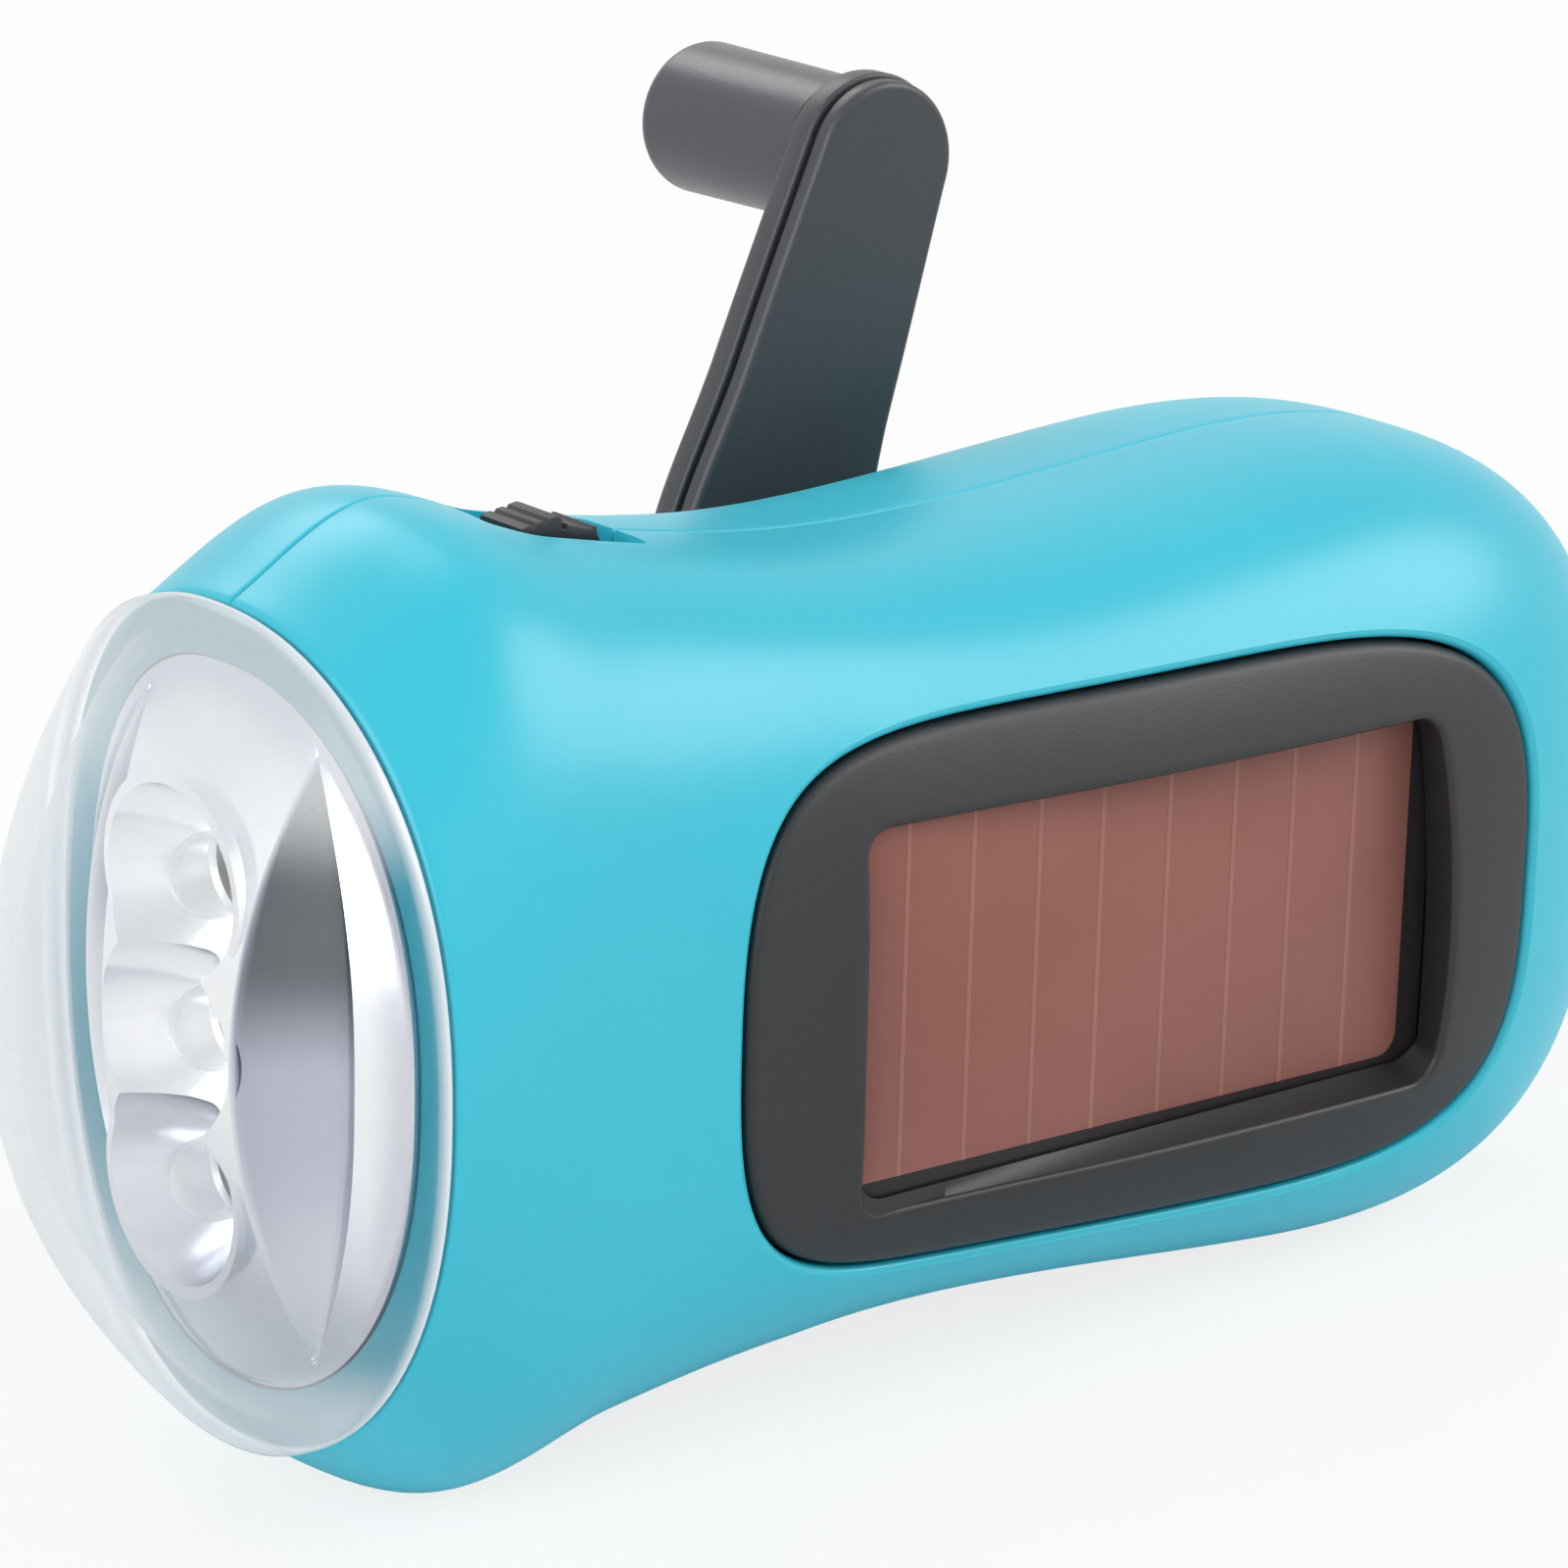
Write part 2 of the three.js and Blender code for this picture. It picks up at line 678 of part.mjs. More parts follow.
// The switch stands on a slope: its own frame has X down the slope and Z out of the surface
const slopeStep = switchRecessLength / 2;
const switchSlope =
  (halfHeightAt(switchX + slopeStep) - halfHeightAt(switchX - slopeStep)) / (2 * slopeStep);
const switchTilt = Math.atan(-switchSlope);
const switchHeight = halfHeightAt(switchX);
const sliderRestX = (switchRecessLength - sliderLength) / 2 - sliderRearRoom;
const switchMiddleX = sliderRestX - switchTravel / 2;

function onSlope(solid) {
  return solidOf(geometryOf(solid).rotateY(switchTilt).translate(switchX, 0, switchHeight));
}

const across = (length, width, lowZ, highZ, middleX = 0) =>
  block(point(middleX - length / 2, -width / 2, lowZ), point(middleX + length / 2, width / 2, highZ));

function switchCuts() {
  const recess = across(switchRecessLength, switchRecessWidth, -switchRecessDepth, cutOverrun);
  const slotReach = sliderNeckLength + switchTravel + 2 * runningGap;
  const slot = across(slotReach, switchSlotWidth, -cutOverrun, cutOverrun, switchMiddleX);
  return onSlope(joined(recess, slot));
}

// The slider's profile from front to rear, as shares of its length and height: a wedge with a groove for the
// thumb, a notch, and a lower block with a small ridge
const sliderProfileShares = [
  [0, 0.4],
  [0.16, 0.62],
  [0.18, 0.5],
  [0.38, 1],
  [0.46, 0.96],
  [0.48, 0.62],
  [0.52, 0.62],
  [0.54, 0.82],
  [0.82, 0.74],
  [0.84, 0.86],
  [0.9, 0.84],
  [0.92, 0.62],
  [1, 0.2],
];
const sliderNeckShare = 0.15;

function switchSlider() {
  const baseZ = -switchRecessDepth + runningGap;
  const frontX = -sliderLength / 2;
  const profile = [[frontX, baseZ]];
  for (const [alongShare, heightShare] of sliderProfileShares) {
    profile.push([frontX + sliderLength * alongShare, baseZ + sliderHeight * heightShare]);
  }
  profile.push([frontX + sliderLength, baseZ]);
  const shape = new THREE.Shape(profile.reverse().map(([x, z]) => new THREE.Vector2(x, z)));
  const plate = new THREE.ExtrudeGeometry(shape, { depth: sliderWidth, bevelEnabled: false });
  const cap = solidOf(plate.rotateX(Math.PI / 2).translate(0, sliderWidth / 2, 0));
  const neckLowZ = -wallThickness - switchBodyDrop + runningGap;
  const neckHighZ = baseZ + sliderHeight * sliderNeckShare;
  const neck = across(sliderNeckLength, sliderNeckWidth, neckLowZ, neckHighZ);
  return joined(cap, neck);
}

function switchBody() {
  const topZ = -wallThickness - switchBodyDrop;
  return across(switchBodyLength, switchBodyWidth, topZ - switchBodyHeight, topZ, switchMiddleX);
}

// Housing halves
const outerForm = bodyForm(0, 0, bodyStationCount, bodySideCount);
const innerForm = bodyForm(wallThickness, cutOverrun, innerStationCount, innerSideCount);
const crankHalfSpace = block(
  point(-farReach, partingGap / 2, -farReach),
  point(2 * farReach, farReach, farReach),
);
const panelHalfSpace = block(
  point(-farReach, -farReach, -farReach),
  point(2 * farReach, -partingGap / 2, farReach),
);
const skin = cut(outerForm, innerForm, underGround());

// Added plastic keeps inside the housing's outer form
const moulded = (solid) => solid.intersect(outerForm);

function panelSideShell() {
  const tray = slab(bezelOutline(seatGap + trayThickness), -farReach, trayInnerY);
  const seat = slab(bezelOutline(seatGap), -farReach, trayOuterY);
  const bosses = Object.values(screwPlaces).map((place) =>
    bar(screwBossRadius, -farReach, -partingGap / 2, screwSideCount, place),
  );
  const holeEndY = screwSeatY - screwLength - screwTipRoom;
  const holes = Object.values(screwPlaces).map((place) =>
    bar(screwRadius + boreGap, holeEndY, cutOverrun, screwSideCount, place),
  );
  const endX = [boardFrontX + boardPostInset, boardFrontX + boardLength - boardPostInset];
  const endZ = boardHeight / 2 - boardPostInset;
  const boardPosts = endX.flatMap((x) =>
    [-endZ, endZ].map((z) =>
      bar(boardPostRadius, trayOuterY, boardInnerY - seatGap, screwSideCount, point(x, 0, z)),
    ),
  );
  const solid = joined(skin, moulded(joined(tray, ...bosses)), ...boardPosts);
  return cut(solid, seat, ...holes, switchCuts()).intersect(panelHalfSpace);
}

function crankSideShell() {
  const wells = Object.values(screwPlaces).flatMap((place) => [
    bar(wellRadius + screwBossWall, screwSeatY - screwBossWall, farReach, screwSideCount, place),
    bar(screwBossRadius, partingGap / 2, screwSeatY, screwSideCount, place),
  ]);
  const wellHoles = Object.values(screwPlaces).flatMap((place) => [
    bar(wellRadius, screwSeatY, farReach, screwSideCount, place),
    bar(screwRadius + boreGap, -cutOverrun, farReach, screwSideCount, place),
  ]);
  const posts = Object.values(postPlaces).map((place) =>
    bar(postRadius, plateOuterY + seatGap, farReach, postSideCount, place),
  );
  const postHoles = Object.values(postPlaces).map((place) =>
    bar(
      plateScrewRadius + boreGap,
      plateInnerY,
      plateInnerY + plateScrewLength + screwTipRoom,
      gearPinSideCount,
      place,
    ),
  );
  const recessRadius = hubRadius + runningGap;
  const recessWall = bar(recessRadius + wallThickness, recessInnerY, farReach, hubSideCount, crankCentre);
  const recess = bar(recessRadius, recessFloorY, farReach, hubSideCount, crankCentre);
  const cupRadius = pocketRadius + pocketWall;
  const pocketCup = bar(cupRadius, pocketFloorY - pocketWall, farReach, pocketSideCount, pocketCentre);
  const pocket = bar(pocketRadius, pocketFloorY, farReach, pocketSideCount, pocketCentre);
  const bushHole = bar(
    axleRadius + boreGap + bushWall + boreGap,
    -cutOverrun,
    farReach,
    axleSideCount,
    crankCentre,
  );
  const solid = joined(skin, moulded(joined(recessWall, pocketCup, ...wells, ...posts)));
  const holes = [recess, pocket, bushHole, ...wellHoles, ...postHoles];
  return cut(solid, ...holes, switchCuts()).intersect(crankHalfSpace);
}

// Front end: every ring follows the housing's front section, scaled by a share of its half sizes
function frontRing(halfDepth, halfHeight, share, sides, placeX) {
  return Array.from({ length: sides }, (_, side) => {
    const [depthShare, heightShare] = sectionPoint((2 * Math.PI * side) / sides, headSectionPower);
    const y = halfDepth * share * depthShare;
    const z = halfHeight * share * heightShare;
    const x = placeX(y, z) + frontSweep(y / frontHalfDepth, z / frontHalfHeight);
    return point(x, y, z);
  });
}

const evenShares = (count) => Array.from({ length: count }, (_, i) => (i + 1) / count);

function frontLens() {
  const flat = (x) => () => x;
  const outerTop = -seatGap - lensRimHeight - lensDomeHeight;
  const outerDome = evenShares(lensRingCount).map((share) => {
    const x = outerTop + lensDomeHeight * share ** 2;
    return frontRing(frontHalfDepth, frontHalfHeight, share, lensSideCount, flat(x));
  });
  const rimInset = wallThickness + lensFitGap;
  const skirtInset = rimInset + lensSkirtThickness;
  const edge = (inset, x) =>
    frontRing(frontHalfDepth - inset, frontHalfHeight - inset, 1, lensSideCount, flat(x));
  const innerTop = outerTop + lensThickness;
  const innerEdge = -seatGap;
  const innerDome = evenShares(lensRingCount).map((share) =>
    frontRing(
      frontHalfDepth - skirtInset,
      frontHalfHeight - skirtInset,
      share,
      lensSideCount,
      flat(innerTop + (innerEdge - innerTop) * share ** 2),
    ),
  );
  const rings = [
    ...outerDome,
    edge(0, -seatGap),
    edge(rimInset, -seatGap),
    edge(rimInset, lensSkirtDepth),
    edge(skirtInset, lensSkirtDepth),
    ...innerDome.reverse(),
  ];
  return loft(rings, point(outerTop, 0, 0), point(innerTop, 0, 0));
}

// Height of the reflector's face: a low dome with a hollow scooped out on each side of the cups
function reflectorFace(y, z) {
  const halfDepth = frontHalfDepth - reflectorInset;
  const halfHeight = frontHalfHeight - reflectorInset;
  const share = Math.min(Math.hypot(y / halfDepth, z / halfHeight), 1);
  const dome = reflectorSetback - reflectorDomeHeight * (1 - share ** 2);
  const offPlace = (Math.abs(y) / halfDepth - reflectorScoopPlaceShare) / reflectorScoopWidthShare;
  const hollow = Math.max(1 - offPlace ** 2, 0) * (1 - share ** 4);
  return dome + reflectorScoopDepth * hollow;
}

const cupPlaces = [cupPitch, 0, -cupPitch].map((z) => point(0, 0, z));
const cupEndX = cupMouthX + cupDepth;
const lampBoardX = cupEndX + seatGap;

// One cup's inner form: a bowl that opens forwards, cut clear through at both ends
function cupHollow(place) {
  const baseRadius = cupBaseRadius + boreGap;
  const profile = [[0, cupEndX + cutOverrun], [baseRadius, cupEndX + cutOverrun]];
  for (let i = 0; i <= cupStepCount; i++) {
    const share = i / cupStepCount;
    const spread = (cupMouthRadius - cupBaseRadius) * Math.sin((share * Math.PI) / 2);
    profile.push([baseRadius + spread, cupEndX - cupDepth * share]);
  }
  profile.push([cupMouthRadius + boreGap, cupMouthX - cutOverrun], [0, cupMouthX - cutOverrun]);
  return turnedAlongX(profile, cupSideCount, place);
}

function reflector() {
  const halfDepth = frontHalfDepth - reflectorInset;
  const halfHeight = frontHalfHeight - reflectorInset;
  const face = (offset) => evenShares(reflectorRingCount).map((share) =>
    frontRing(halfDepth, halfHeight, share, reflectorSideCount, (y, z) => reflectorFace(y, z) + offset),
  );
  const endX = reflectorSetback + reflectorFlangeDepth;
  const rim = (inset) =>
    frontRing(halfDepth - inset, halfHeight - inset, 1, reflectorSideCount, () => endX);
  const innerShare = 1 - reflectorThickness / halfDepth;
  const back = evenShares(reflectorRingCount).map((share) =>
    frontRing(
      halfDepth,
      halfHeight,
      share * innerShare,
      reflectorSideCount,
      (y, z) => reflectorFace(y, z) + reflectorThickness,
    ),
  );
  const skinPart = loft(
    [...face(0), rim(0), rim(reflectorThickness), ...back.reverse()],
    point(reflectorFace(0, 0), 0, 0),
    point(reflectorFace(0, 0) + reflectorThickness, 0, 0),
  );
  const outerCup = (place) =>
    turnedAlongX(
      [
        [0, cupEndX],
        [cupBaseRadius + boreGap + cupWall, cupEndX],
        [cupMouthRadius + cupWall, cupMouthX],
        [0, cupMouthX],
      ],
      cupSideCount,
      place,
    );
  return cut(joined(skinPart, ...cupPlaces.map(outerCup)), ...cupPlaces.map(cupHollow));
}

function lamp(place) {
  const baseX = lampBoardX - seatGap;
  const domeX = baseX - lampLength + lampRadius;
  const profile = [
    [0, baseX],
    [lampCollarRadius, baseX],
    [lampCollarRadius, baseX - lampCollarHeight],
    [lampRadius, baseX - lampCollarHeight],
  ];
  for (let i = 0; i < lampTipStepCount; i++) {
    const angle = (i / lampTipStepCount) * (Math.PI / 2);
    profile.push([lampRadius * Math.cos(angle), domeX - lampRadius * Math.sin(angle)]);
  }
  profile.push([0, domeX - lampRadius]);
  return turnedAlongX(profile, lampSideCount, place);
}

function lampBoard() {
  return block(
    point(lampBoardX, -lampBoardWidth / 2, -lampBoardHeight / 2),
    point(lampBoardX + lampBoardThickness, lampBoardWidth / 2, lampBoardHeight / 2),
  );
}

// Solar panel, its pad and its bezel
function panelBezel() {
  const proudForm = bodyForm(-bezelProud, 0, bodyStationCount, bodySideCount);
  const blank = slab(bezelOutline(0), -farReach, bezelInnerY).intersect(proudForm);
  const rebate = slab(panelOutline(seatGap), panelOuterY - seatGap, bezelInnerY + cutOverrun);
  return cut(blank, windowTool(), rebate);
}

const solarPanel = () => slab(panelOutline(0), panelOuterY, panelInnerY);

function panelPad() {
  const inset = panelPadInset;
  const half = windowHeight / 2 - inset;
  const endX = windowFrontX + windowLength - inset;
  const outline = rectangle(windowFrontX + inset, endX, windowCentreZ - half, windowCentreZ + half);
  return slab(outline, panelInnerY + seatGap, trayOuterY - seatGap);
}

// Crank pieces are drawn about the crank's axis with the arm along X
const origin = point(0, 0, 0);

function crankHub() {
  const disc = turnedAlongY(
    [
      [0, hubInnerY],
      [hubRadius, hubInnerY],
      [hubRadius, hubOuterY - hubEdgeBevel],
      [hubRadius - hubEdgeBevel, hubOuterY],
      [0, hubOuterY],
    ],
    hubSideCount,
    origin,
  );
  const earOutline = [
    ...arc(hingeOffset, armMiddleY, earRadius, 0, Math.PI, armOutlineCount),
    [hingeOffset - earRadius, hubInnerY + hubEdgeBevel],
    [hingeOffset + earRadius, hubInnerY + hubEdgeBevel],
  ];
  const ear = (lowZ) => standing(earOutline, lowZ, lowZ + earThickness);
  const earPlace = barrelHalfWidth + runningGap;
  const pinHole = acrossBar(hingePinRadius + boreGap, earPlace + earThickness + cutOverrun);
  const boreEndY = hubOuterY - hubCapThickness;
  const bore = bar(axleRadius + boreGap, hubInnerY - cutOverrun, boreEndY, axleSideCount, origin);
  return cut(joined(disc, ear(earPlace), ear(-earPlace - earThickness)), pinHole, bore);
}

// An outline in X and Y, given thickness along Z
function standing(outline, lowZ, highZ) {
  const shape = new THREE.Shape(outline.map(([x, y]) => new THREE.Vector2(x, y)));
  const geometry = new THREE.ExtrudeGeometry(shape, { depth: highZ - lowZ, bevelEnabled: false });
  return solidOf(geometry.translate(0, 0, lowZ));
}

// A round bar along the hinge's axis
function acrossBar(radius, halfLength) {
  const geometry = new THREE.CylinderGeometry(radius, radius, 2 * halfLength, axleSideCount);
  return solidOf(geometry.rotateX(Math.PI / 2).translate(hingeOffset, armMiddleY, 0));
}

const hingePin = () => acrossBar(hingePinRadius, barrelHalfWidth + runningGap + earThickness);

function crankAxle() {
  return bar(axleRadius, plateInnerY, hubOuterY - hubCapThickness - boreGap, axleSideCount, origin);
}

function axleBush() {
  const innerRadius = axleRadius + boreGap;
  const outerRadius = innerRadius + bushWall;
  const flangeY = recessInnerY - seatGap;
  const tube = bar(outerRadius, flangeY - bushFlangeThickness, recessFloorY, axleSideCount, crankCentre);
  const flange = bar(bushFlangeRadius, flangeY - bushFlangeThickness, flangeY, axleSideCount, crankCentre);
  const bore = bar(innerRadius, flangeY - cutOverrun, farReach, axleSideCount, crankCentre);
  return cut(joined(tube, flange), bore);
}

// The arm tapers from its shoulders at the hinge to the round end that holds the knob
function armOutline(inset) {
  const startX = hingeOffset + armStartOffset + inset;
  const shoulderX = hingeOffset + armStartOffset + armShoulderLength;
  const middleX = (shoulderX + crankThrow) / 2;
  const side = (sign) => [
    [startX, sign * (armHingeHalfWidth - armShoulderInset - inset)],
    [shoulderX, sign * (armHingeHalfWidth - inset)],
    [middleX, sign * (armMiddleHalfWidth - inset)],
  ];
  const end = arc(crankThrow, 0, armKnobRadius - inset, -Math.PI / 2, Math.PI / 2, armOutlineCount);
  return [...side(-1), ...end, ...side(1).reverse()];
}

const armPlateInnerY = armInnerY + armCoverThickness + seatGap;

function crankArm() {
  const plate = slab(armOutline(0), armPlateInnerY, armOuterY);
  const neckReach = hingeOffset + armStartOffset + armShoulderLength;
  const neck = block(
    point(hingeOffset, armMiddleY - barrelRadius, -barrelHalfWidth),
    point(neckReach, armMiddleY + barrelRadius, barrelHalfWidth),
  );
  const barrel = acrossBar(barrelRadius, barrelHalfWidth);
  const pinHole = acrossBar(hingePinRadius + hingePinGap, barrelHalfWidth + cutOverrun);
  const knobEnd = point(crankThrow, 0, 0);
  const knobPinHole = bar(knobPinRadius + boreGap, armInnerY, farReach, axleSideCount, knobEnd);
  const headSink = bar(
    knobPinHeadRadius + boreGap,
    armInnerY,
    armPlateInnerY + knobPinHeadHeight + seatGap,
    axleSideCount,
    knobEnd,
  );
  return cut(joined(plate, neck, barrel), pinHole, knobPinHole, headSink);
}

function armCover() {
  const outline = armOutline(armCoverInset);
  const plate = slab(outline, armInnerY, armInnerY + armCoverThickness);
  const neckEnd = hingeOffset + armStartOffset + armShoulderLength + seatGap;
  const neckRoom = block(
    point(0, armInnerY - cutOverrun, -barrelHalfWidth - seatGap),
    point(neckEnd, armOuterY, barrelHalfWidth + seatGap),
  );
  return cut(plate, neckRoom);
}

function knobPin() {
  const headY = armPlateInnerY;
  const endY = knobOuterY - knobEndThickness - seatGap;
  return turnedAlongY(
    [
      [0, headY],
      [knobPinHeadRadius, headY],
      [knobPinHeadRadius, headY + knobPinHeadHeight],
      [knobPinRadius, headY + knobPinHeadHeight],
      [knobPinRadius, endY],
      [0, endY],
    ],
    axleSideCount,
    point(crankThrow, 0, 0),
  );
}

function crankKnob() {
  const boreRadius = knobPinRadius + 2 * boreGap;
  const boreEndY = knobOuterY - knobEndThickness;
  const profile = [[0, boreEndY], [boreRadius, boreEndY], [boreRadius, knobInnerY], [knobRadius, knobInnerY]];
  for (let i = 0; i <= knobEdgeStepCount; i++) {
    const angle = (i / knobEdgeStepCount) * (Math.PI / 2);
    profile.push([
      knobFreeRadius - knobEdgeRadius + knobEdgeRadius * Math.cos(angle),
      knobOuterY - knobEdgeRadius + knobEdgeRadius * Math.sin(angle),
    ]);
  }
  profile.push([0, knobOuterY]);
  return turnedAlongY(profile, knobSideCount, point(crankThrow, 0, 0));
}

// Gear train: each partner faces the other with a tooth against a gap
const gearBore = (radius, centre) =>
  bar(radius + boreGap, -farReach, farReach, gearPinSideCount, centre);

function driveGear() {
  const wheel = gear(driveTeeth, firstDirection, false, levelOuterY(0), levelInnerY(0), crankCentre);
  const bore = bar(axleRadius + boreGap, -farReach, farReach, axleSideCount, crankCentre);
  return cut(wheel, bore);
}

function firstGear() {
  const pinion = gear(
    firstPinionTeeth,
    firstDirection + Math.PI,
    true,
    levelOuterY(0),
    levelInnerY(1),
    firstCentre,
  );
  const wheel = gear(firstWheelTeeth, secondDirection, false, levelOuterY(1), levelInnerY(1), firstCentre);
  return cut(joined(pinion, wheel), gearBore(gearPinRadius, firstCentre));
}

function secondGear() {
  const pinion = gear(
    secondPinionTeeth,
    secondDirection + Math.PI,
    true,
    levelOuterY(1),
    levelInnerY(2),
    secondCentre,
  );
  const wheel = gear(secondWheelTeeth, rotorDirection, false, levelOuterY(2), levelInnerY(2), secondCentre);
  return cut(joined(pinion, wheel), gearBore(gearPinRadius, secondCentre));
}

function rotorPinion() {
  const pinion = gear(
    rotorPinionTeeth,
    rotorDirection + Math.PI,
    true,
    levelOuterY(2),
    levelInnerY(2),
    rotorCentre,
  );
  return cut(pinion, gearBore(rotorShaftRadius, rotorCentre));
}

const gearPin = (level, centre) =>
  bar(gearPinRadius, plateInnerY, levelOuterY(level), gearPinSideCount, centre);

// The outline that wraps round a set of places, like a band
function wrapOutline(places, margin) {
  const points = places.flatMap((place) => arc(place.x, place.z, margin, 0, 2 * Math.PI, plateCornerCount));
  points.sort((a, b) => a[0] - b[0] || a[1] - b[1]);
  const turn = (a, b, c) => (b[0] - a[0]) * (c[1] - a[1]) - (b[1] - a[1]) * (c[0] - a[0]);
  const half = (list) => {
    const kept = [];
    for (const next of list) {
      while (kept.length > 1 && turn(kept.at(-2), kept.at(-1), next) <= Number.EPSILON) kept.pop();
      kept.push(next);
    }
    return kept.slice(0, -1);
  };
  return [...half(points), ...half([...points].reverse())];
}

function gearPlate() {
  const places = [crankCentre, secondCentre, rotorCentre, ...Object.values(postPlaces)];
  const plate = slab(wrapOutline(places, plateMargin), plateInnerY, plateOuterY);
  const hole = (radius, centre) => bar(radius + boreGap, -farReach, farReach, gearPinSideCount, centre);
  return cut(
    plate,
    hole(axleRadius, crankCentre),
    hole(gearPinRadius, firstCentre),
    hole(gearPinRadius, secondCentre),
    hole(rotorShaftRadius + boreGap, rotorCentre),
    ...Object.values(postPlaces).map((place) => hole(plateScrewRadius, place)),
  );
}

function generatorCase() {
  const can = bar(generatorRadius, generatorInnerY, generatorOuterY, generatorSideCount, rotorCentre);
  const hollow = bar(
    generatorRadius - generatorWall,
    generatorInnerY + generatorWall,
    generatorOuterY - generatorWall,
    generatorSideCount,
    rotorCentre,
  );
  const shaftHole = bar(
    rotorShaftRadius + 2 * boreGap,
    generatorInnerY + generatorWall,
    farReach,
    gearPinSideCount,
    rotorCentre,
  );
  return cut(can, hollow, shaftHole);
}

function rotorShaft() {
  const endY = generatorInnerY + generatorWall + boreGap;
  return bar(rotorShaftRadius, endY, levelOuterY(2), gearPinSideCount, rotorCentre);
}

function rotorMagnet() {
  const middleY = (generatorOuterY + generatorInnerY) / 2;
  const half = rotorMagnetLength / 2;
  const ring = bar(rotorMagnetRadius, middleY - half, middleY + half, generatorSideCount, rotorCentre);
  return cut(ring, gearBore(rotorShaftRadius, rotorCentre));
}

// A screw along Y with a flat head and a straight slot; outward is the side of its head
function screw(headRadius, headHeight, shankRadius, length, seatY, outward, place) {
  const headEnd = seatY + outward * headHeight;
  const tip = seatY - outward * length;
  const profile = [
    [0, tip],
    [shankRadius, tip],
    [shankRadius, seatY],
    [headRadius, seatY],
    [headRadius, headEnd],
    [0, headEnd],
  ];
  const body = turnedAlongY(profile, screwSideCount, place);
  const slotFloor = headEnd - outward * screwSlotDepth;
  const slotEnd = headEnd + outward * cutOverrun;
  const half = screwSlotWidth / 2;
  const slot = slab(
    rectangle(place.x - headRadius, place.x + headRadius, place.z - half, place.z + half),
    Math.min(slotFloor, slotEnd),
    Math.max(slotFloor, slotEnd),
  );
  return cut(body, slot);
}

function controlBoard() {
  return slab(
    rectangle(boardFrontX, boardFrontX + boardLength, -boardHeight / 2, boardHeight / 2),
    boardInnerY,
    boardOuterY,
  );
}

// Button cells stacked in a sleeve that draws in between them
function batteryPack() {
  const profile = [[0, -batteryLength / 2]];
  const cell = batteryLength / batteryCellCount;
  for (let i = 0; i < batteryCellCount; i++) {
    const low = -batteryLength / 2 + cell * i;
    profile.push([batteryRadius - batteryWaistDepth, low]);
    profile.push([batteryRadius, low + batteryWaistDepth]);
    profile.push([batteryRadius, low + cell - batteryWaistDepth]);
  }
  profile.push([batteryRadius - batteryWaistDepth, batteryLength / 2]);
  profile.push([0, batteryLength / 2]);
  return solidOf(turnedGeometry(profile, batterySideCount).rotateX(Math.PI / 2));
}

// The assembly
const torch = new THREE.Group();
const crankGroup = new THREE.Group();
const switchGroup = new THREE.Group();
torch.add(crankGroup, switchGroup);
crankGroup.position.copy(crankCentre);
crankGroup.rotation.y = crankTilt - Math.PI / 2;
switchGroup.position.set(switchX, 0, switchHeight);
switchGroup.rotation.y = switchTilt;

function place(group, name, solid, finish) {
  const mesh = new THREE.Mesh(geometryOf(solid), new THREE.MeshStandardMaterial(finishes[finish]));
  mesh.name = name;
  group.add(mesh);
  return mesh;
}

place(torch, "panel_side_shell", panelSideShell(), "shell");
place(torch, "crank_side_shell", crankSideShell(), "shell");
place(torch, "front_lens", frontLens(), "lens");
place(torch, "reflector", reflector(), "mirror");
["upper", "middle", "lower"].forEach((name, i) => place(torch, "lamp_" + name, lamp(cupPlaces[i]), "lamp"));
place(torch, "lamp_board", lampBoard(), "circuitBoard");
place(torch, "panel_bezel", panelBezel(), "blackPlastic");
place(torch, "solar_panel", solarPanel(), "solarCell");
place(torch, "panel_pad", panelPad(), "blackPlastic");
place(switchGroup, "switch_slider", switchSlider(), "blackPlastic").position.x = sliderRestX;
place(switchGroup, "switch_body", switchBody(), "blackPlastic");
place(crankGroup, "crank_hub", crankHub(), "blackPlastic");
place(crankGroup, "crank_axle", crankAxle(), "steel");
place(crankGroup, "hinge_pin", hingePin(), "steel");
place(crankGroup, "crank_arm", crankArm(), "blackPlastic");
place(crankGroup, "arm_cover", armCover(), "blackPlastic");
place(crankGroup, "knob_pin", knobPin(), "steel");
place(crankGroup, "crank_knob", crankKnob(), "blackPlastic");
place(torch, "axle_bush", axleBush(), "brass");
place(torch, "drive_gear", driveGear(), "gearPlastic");
place(torch, "first_gear", firstGear(), "gearPlastic");
place(torch, "first_gear_pin", gearPin(0, firstCentre), "steel");
place(torch, "second_gear", secondGear(), "gearPlastic");
place(torch, "second_gear_pin", gearPin(1, secondCentre), "steel");
place(torch, "rotor_pinion", rotorPinion(), "brass");
place(torch, "rotor_shaft", rotorShaft(), "steel");
place(torch, "rotor_magnet", rotorMagnet(), "steel");
place(torch, "generator_case", generatorCase(), "steel");
place(torch, "gear_plate", gearPlate(), "steel");
place(torch, "control_board", controlBoard(), "circuitBoard");
place(torch, "battery_pack", batteryPack(), "battery").position.set(
  batteryX,
  boardOuterY + seatGap + batteryRadius,
  0,
);
for (const [name, spot] of Object.entries(screwPlaces)) {
  const made = screw(
    screwHeadRadius,
    screwHeadHeight,
    screwRadius,
    screwLength,
    screwSeatY + seatGap,
    1,
    spot,
  );
  place(torch, name, made, "steel");
}
for (const [name, spot] of Object.entries(postPlaces)) {
  const seatY = plateInnerY - seatGap;
  const made = screw(
    plateScrewHeadRadius,
    plateScrewHeadHeight,
    plateScrewRadius,
    plateScrewLength,
    seatY,
    -1,
    spot,
  );
  place(torch, name, made, "steel");
}

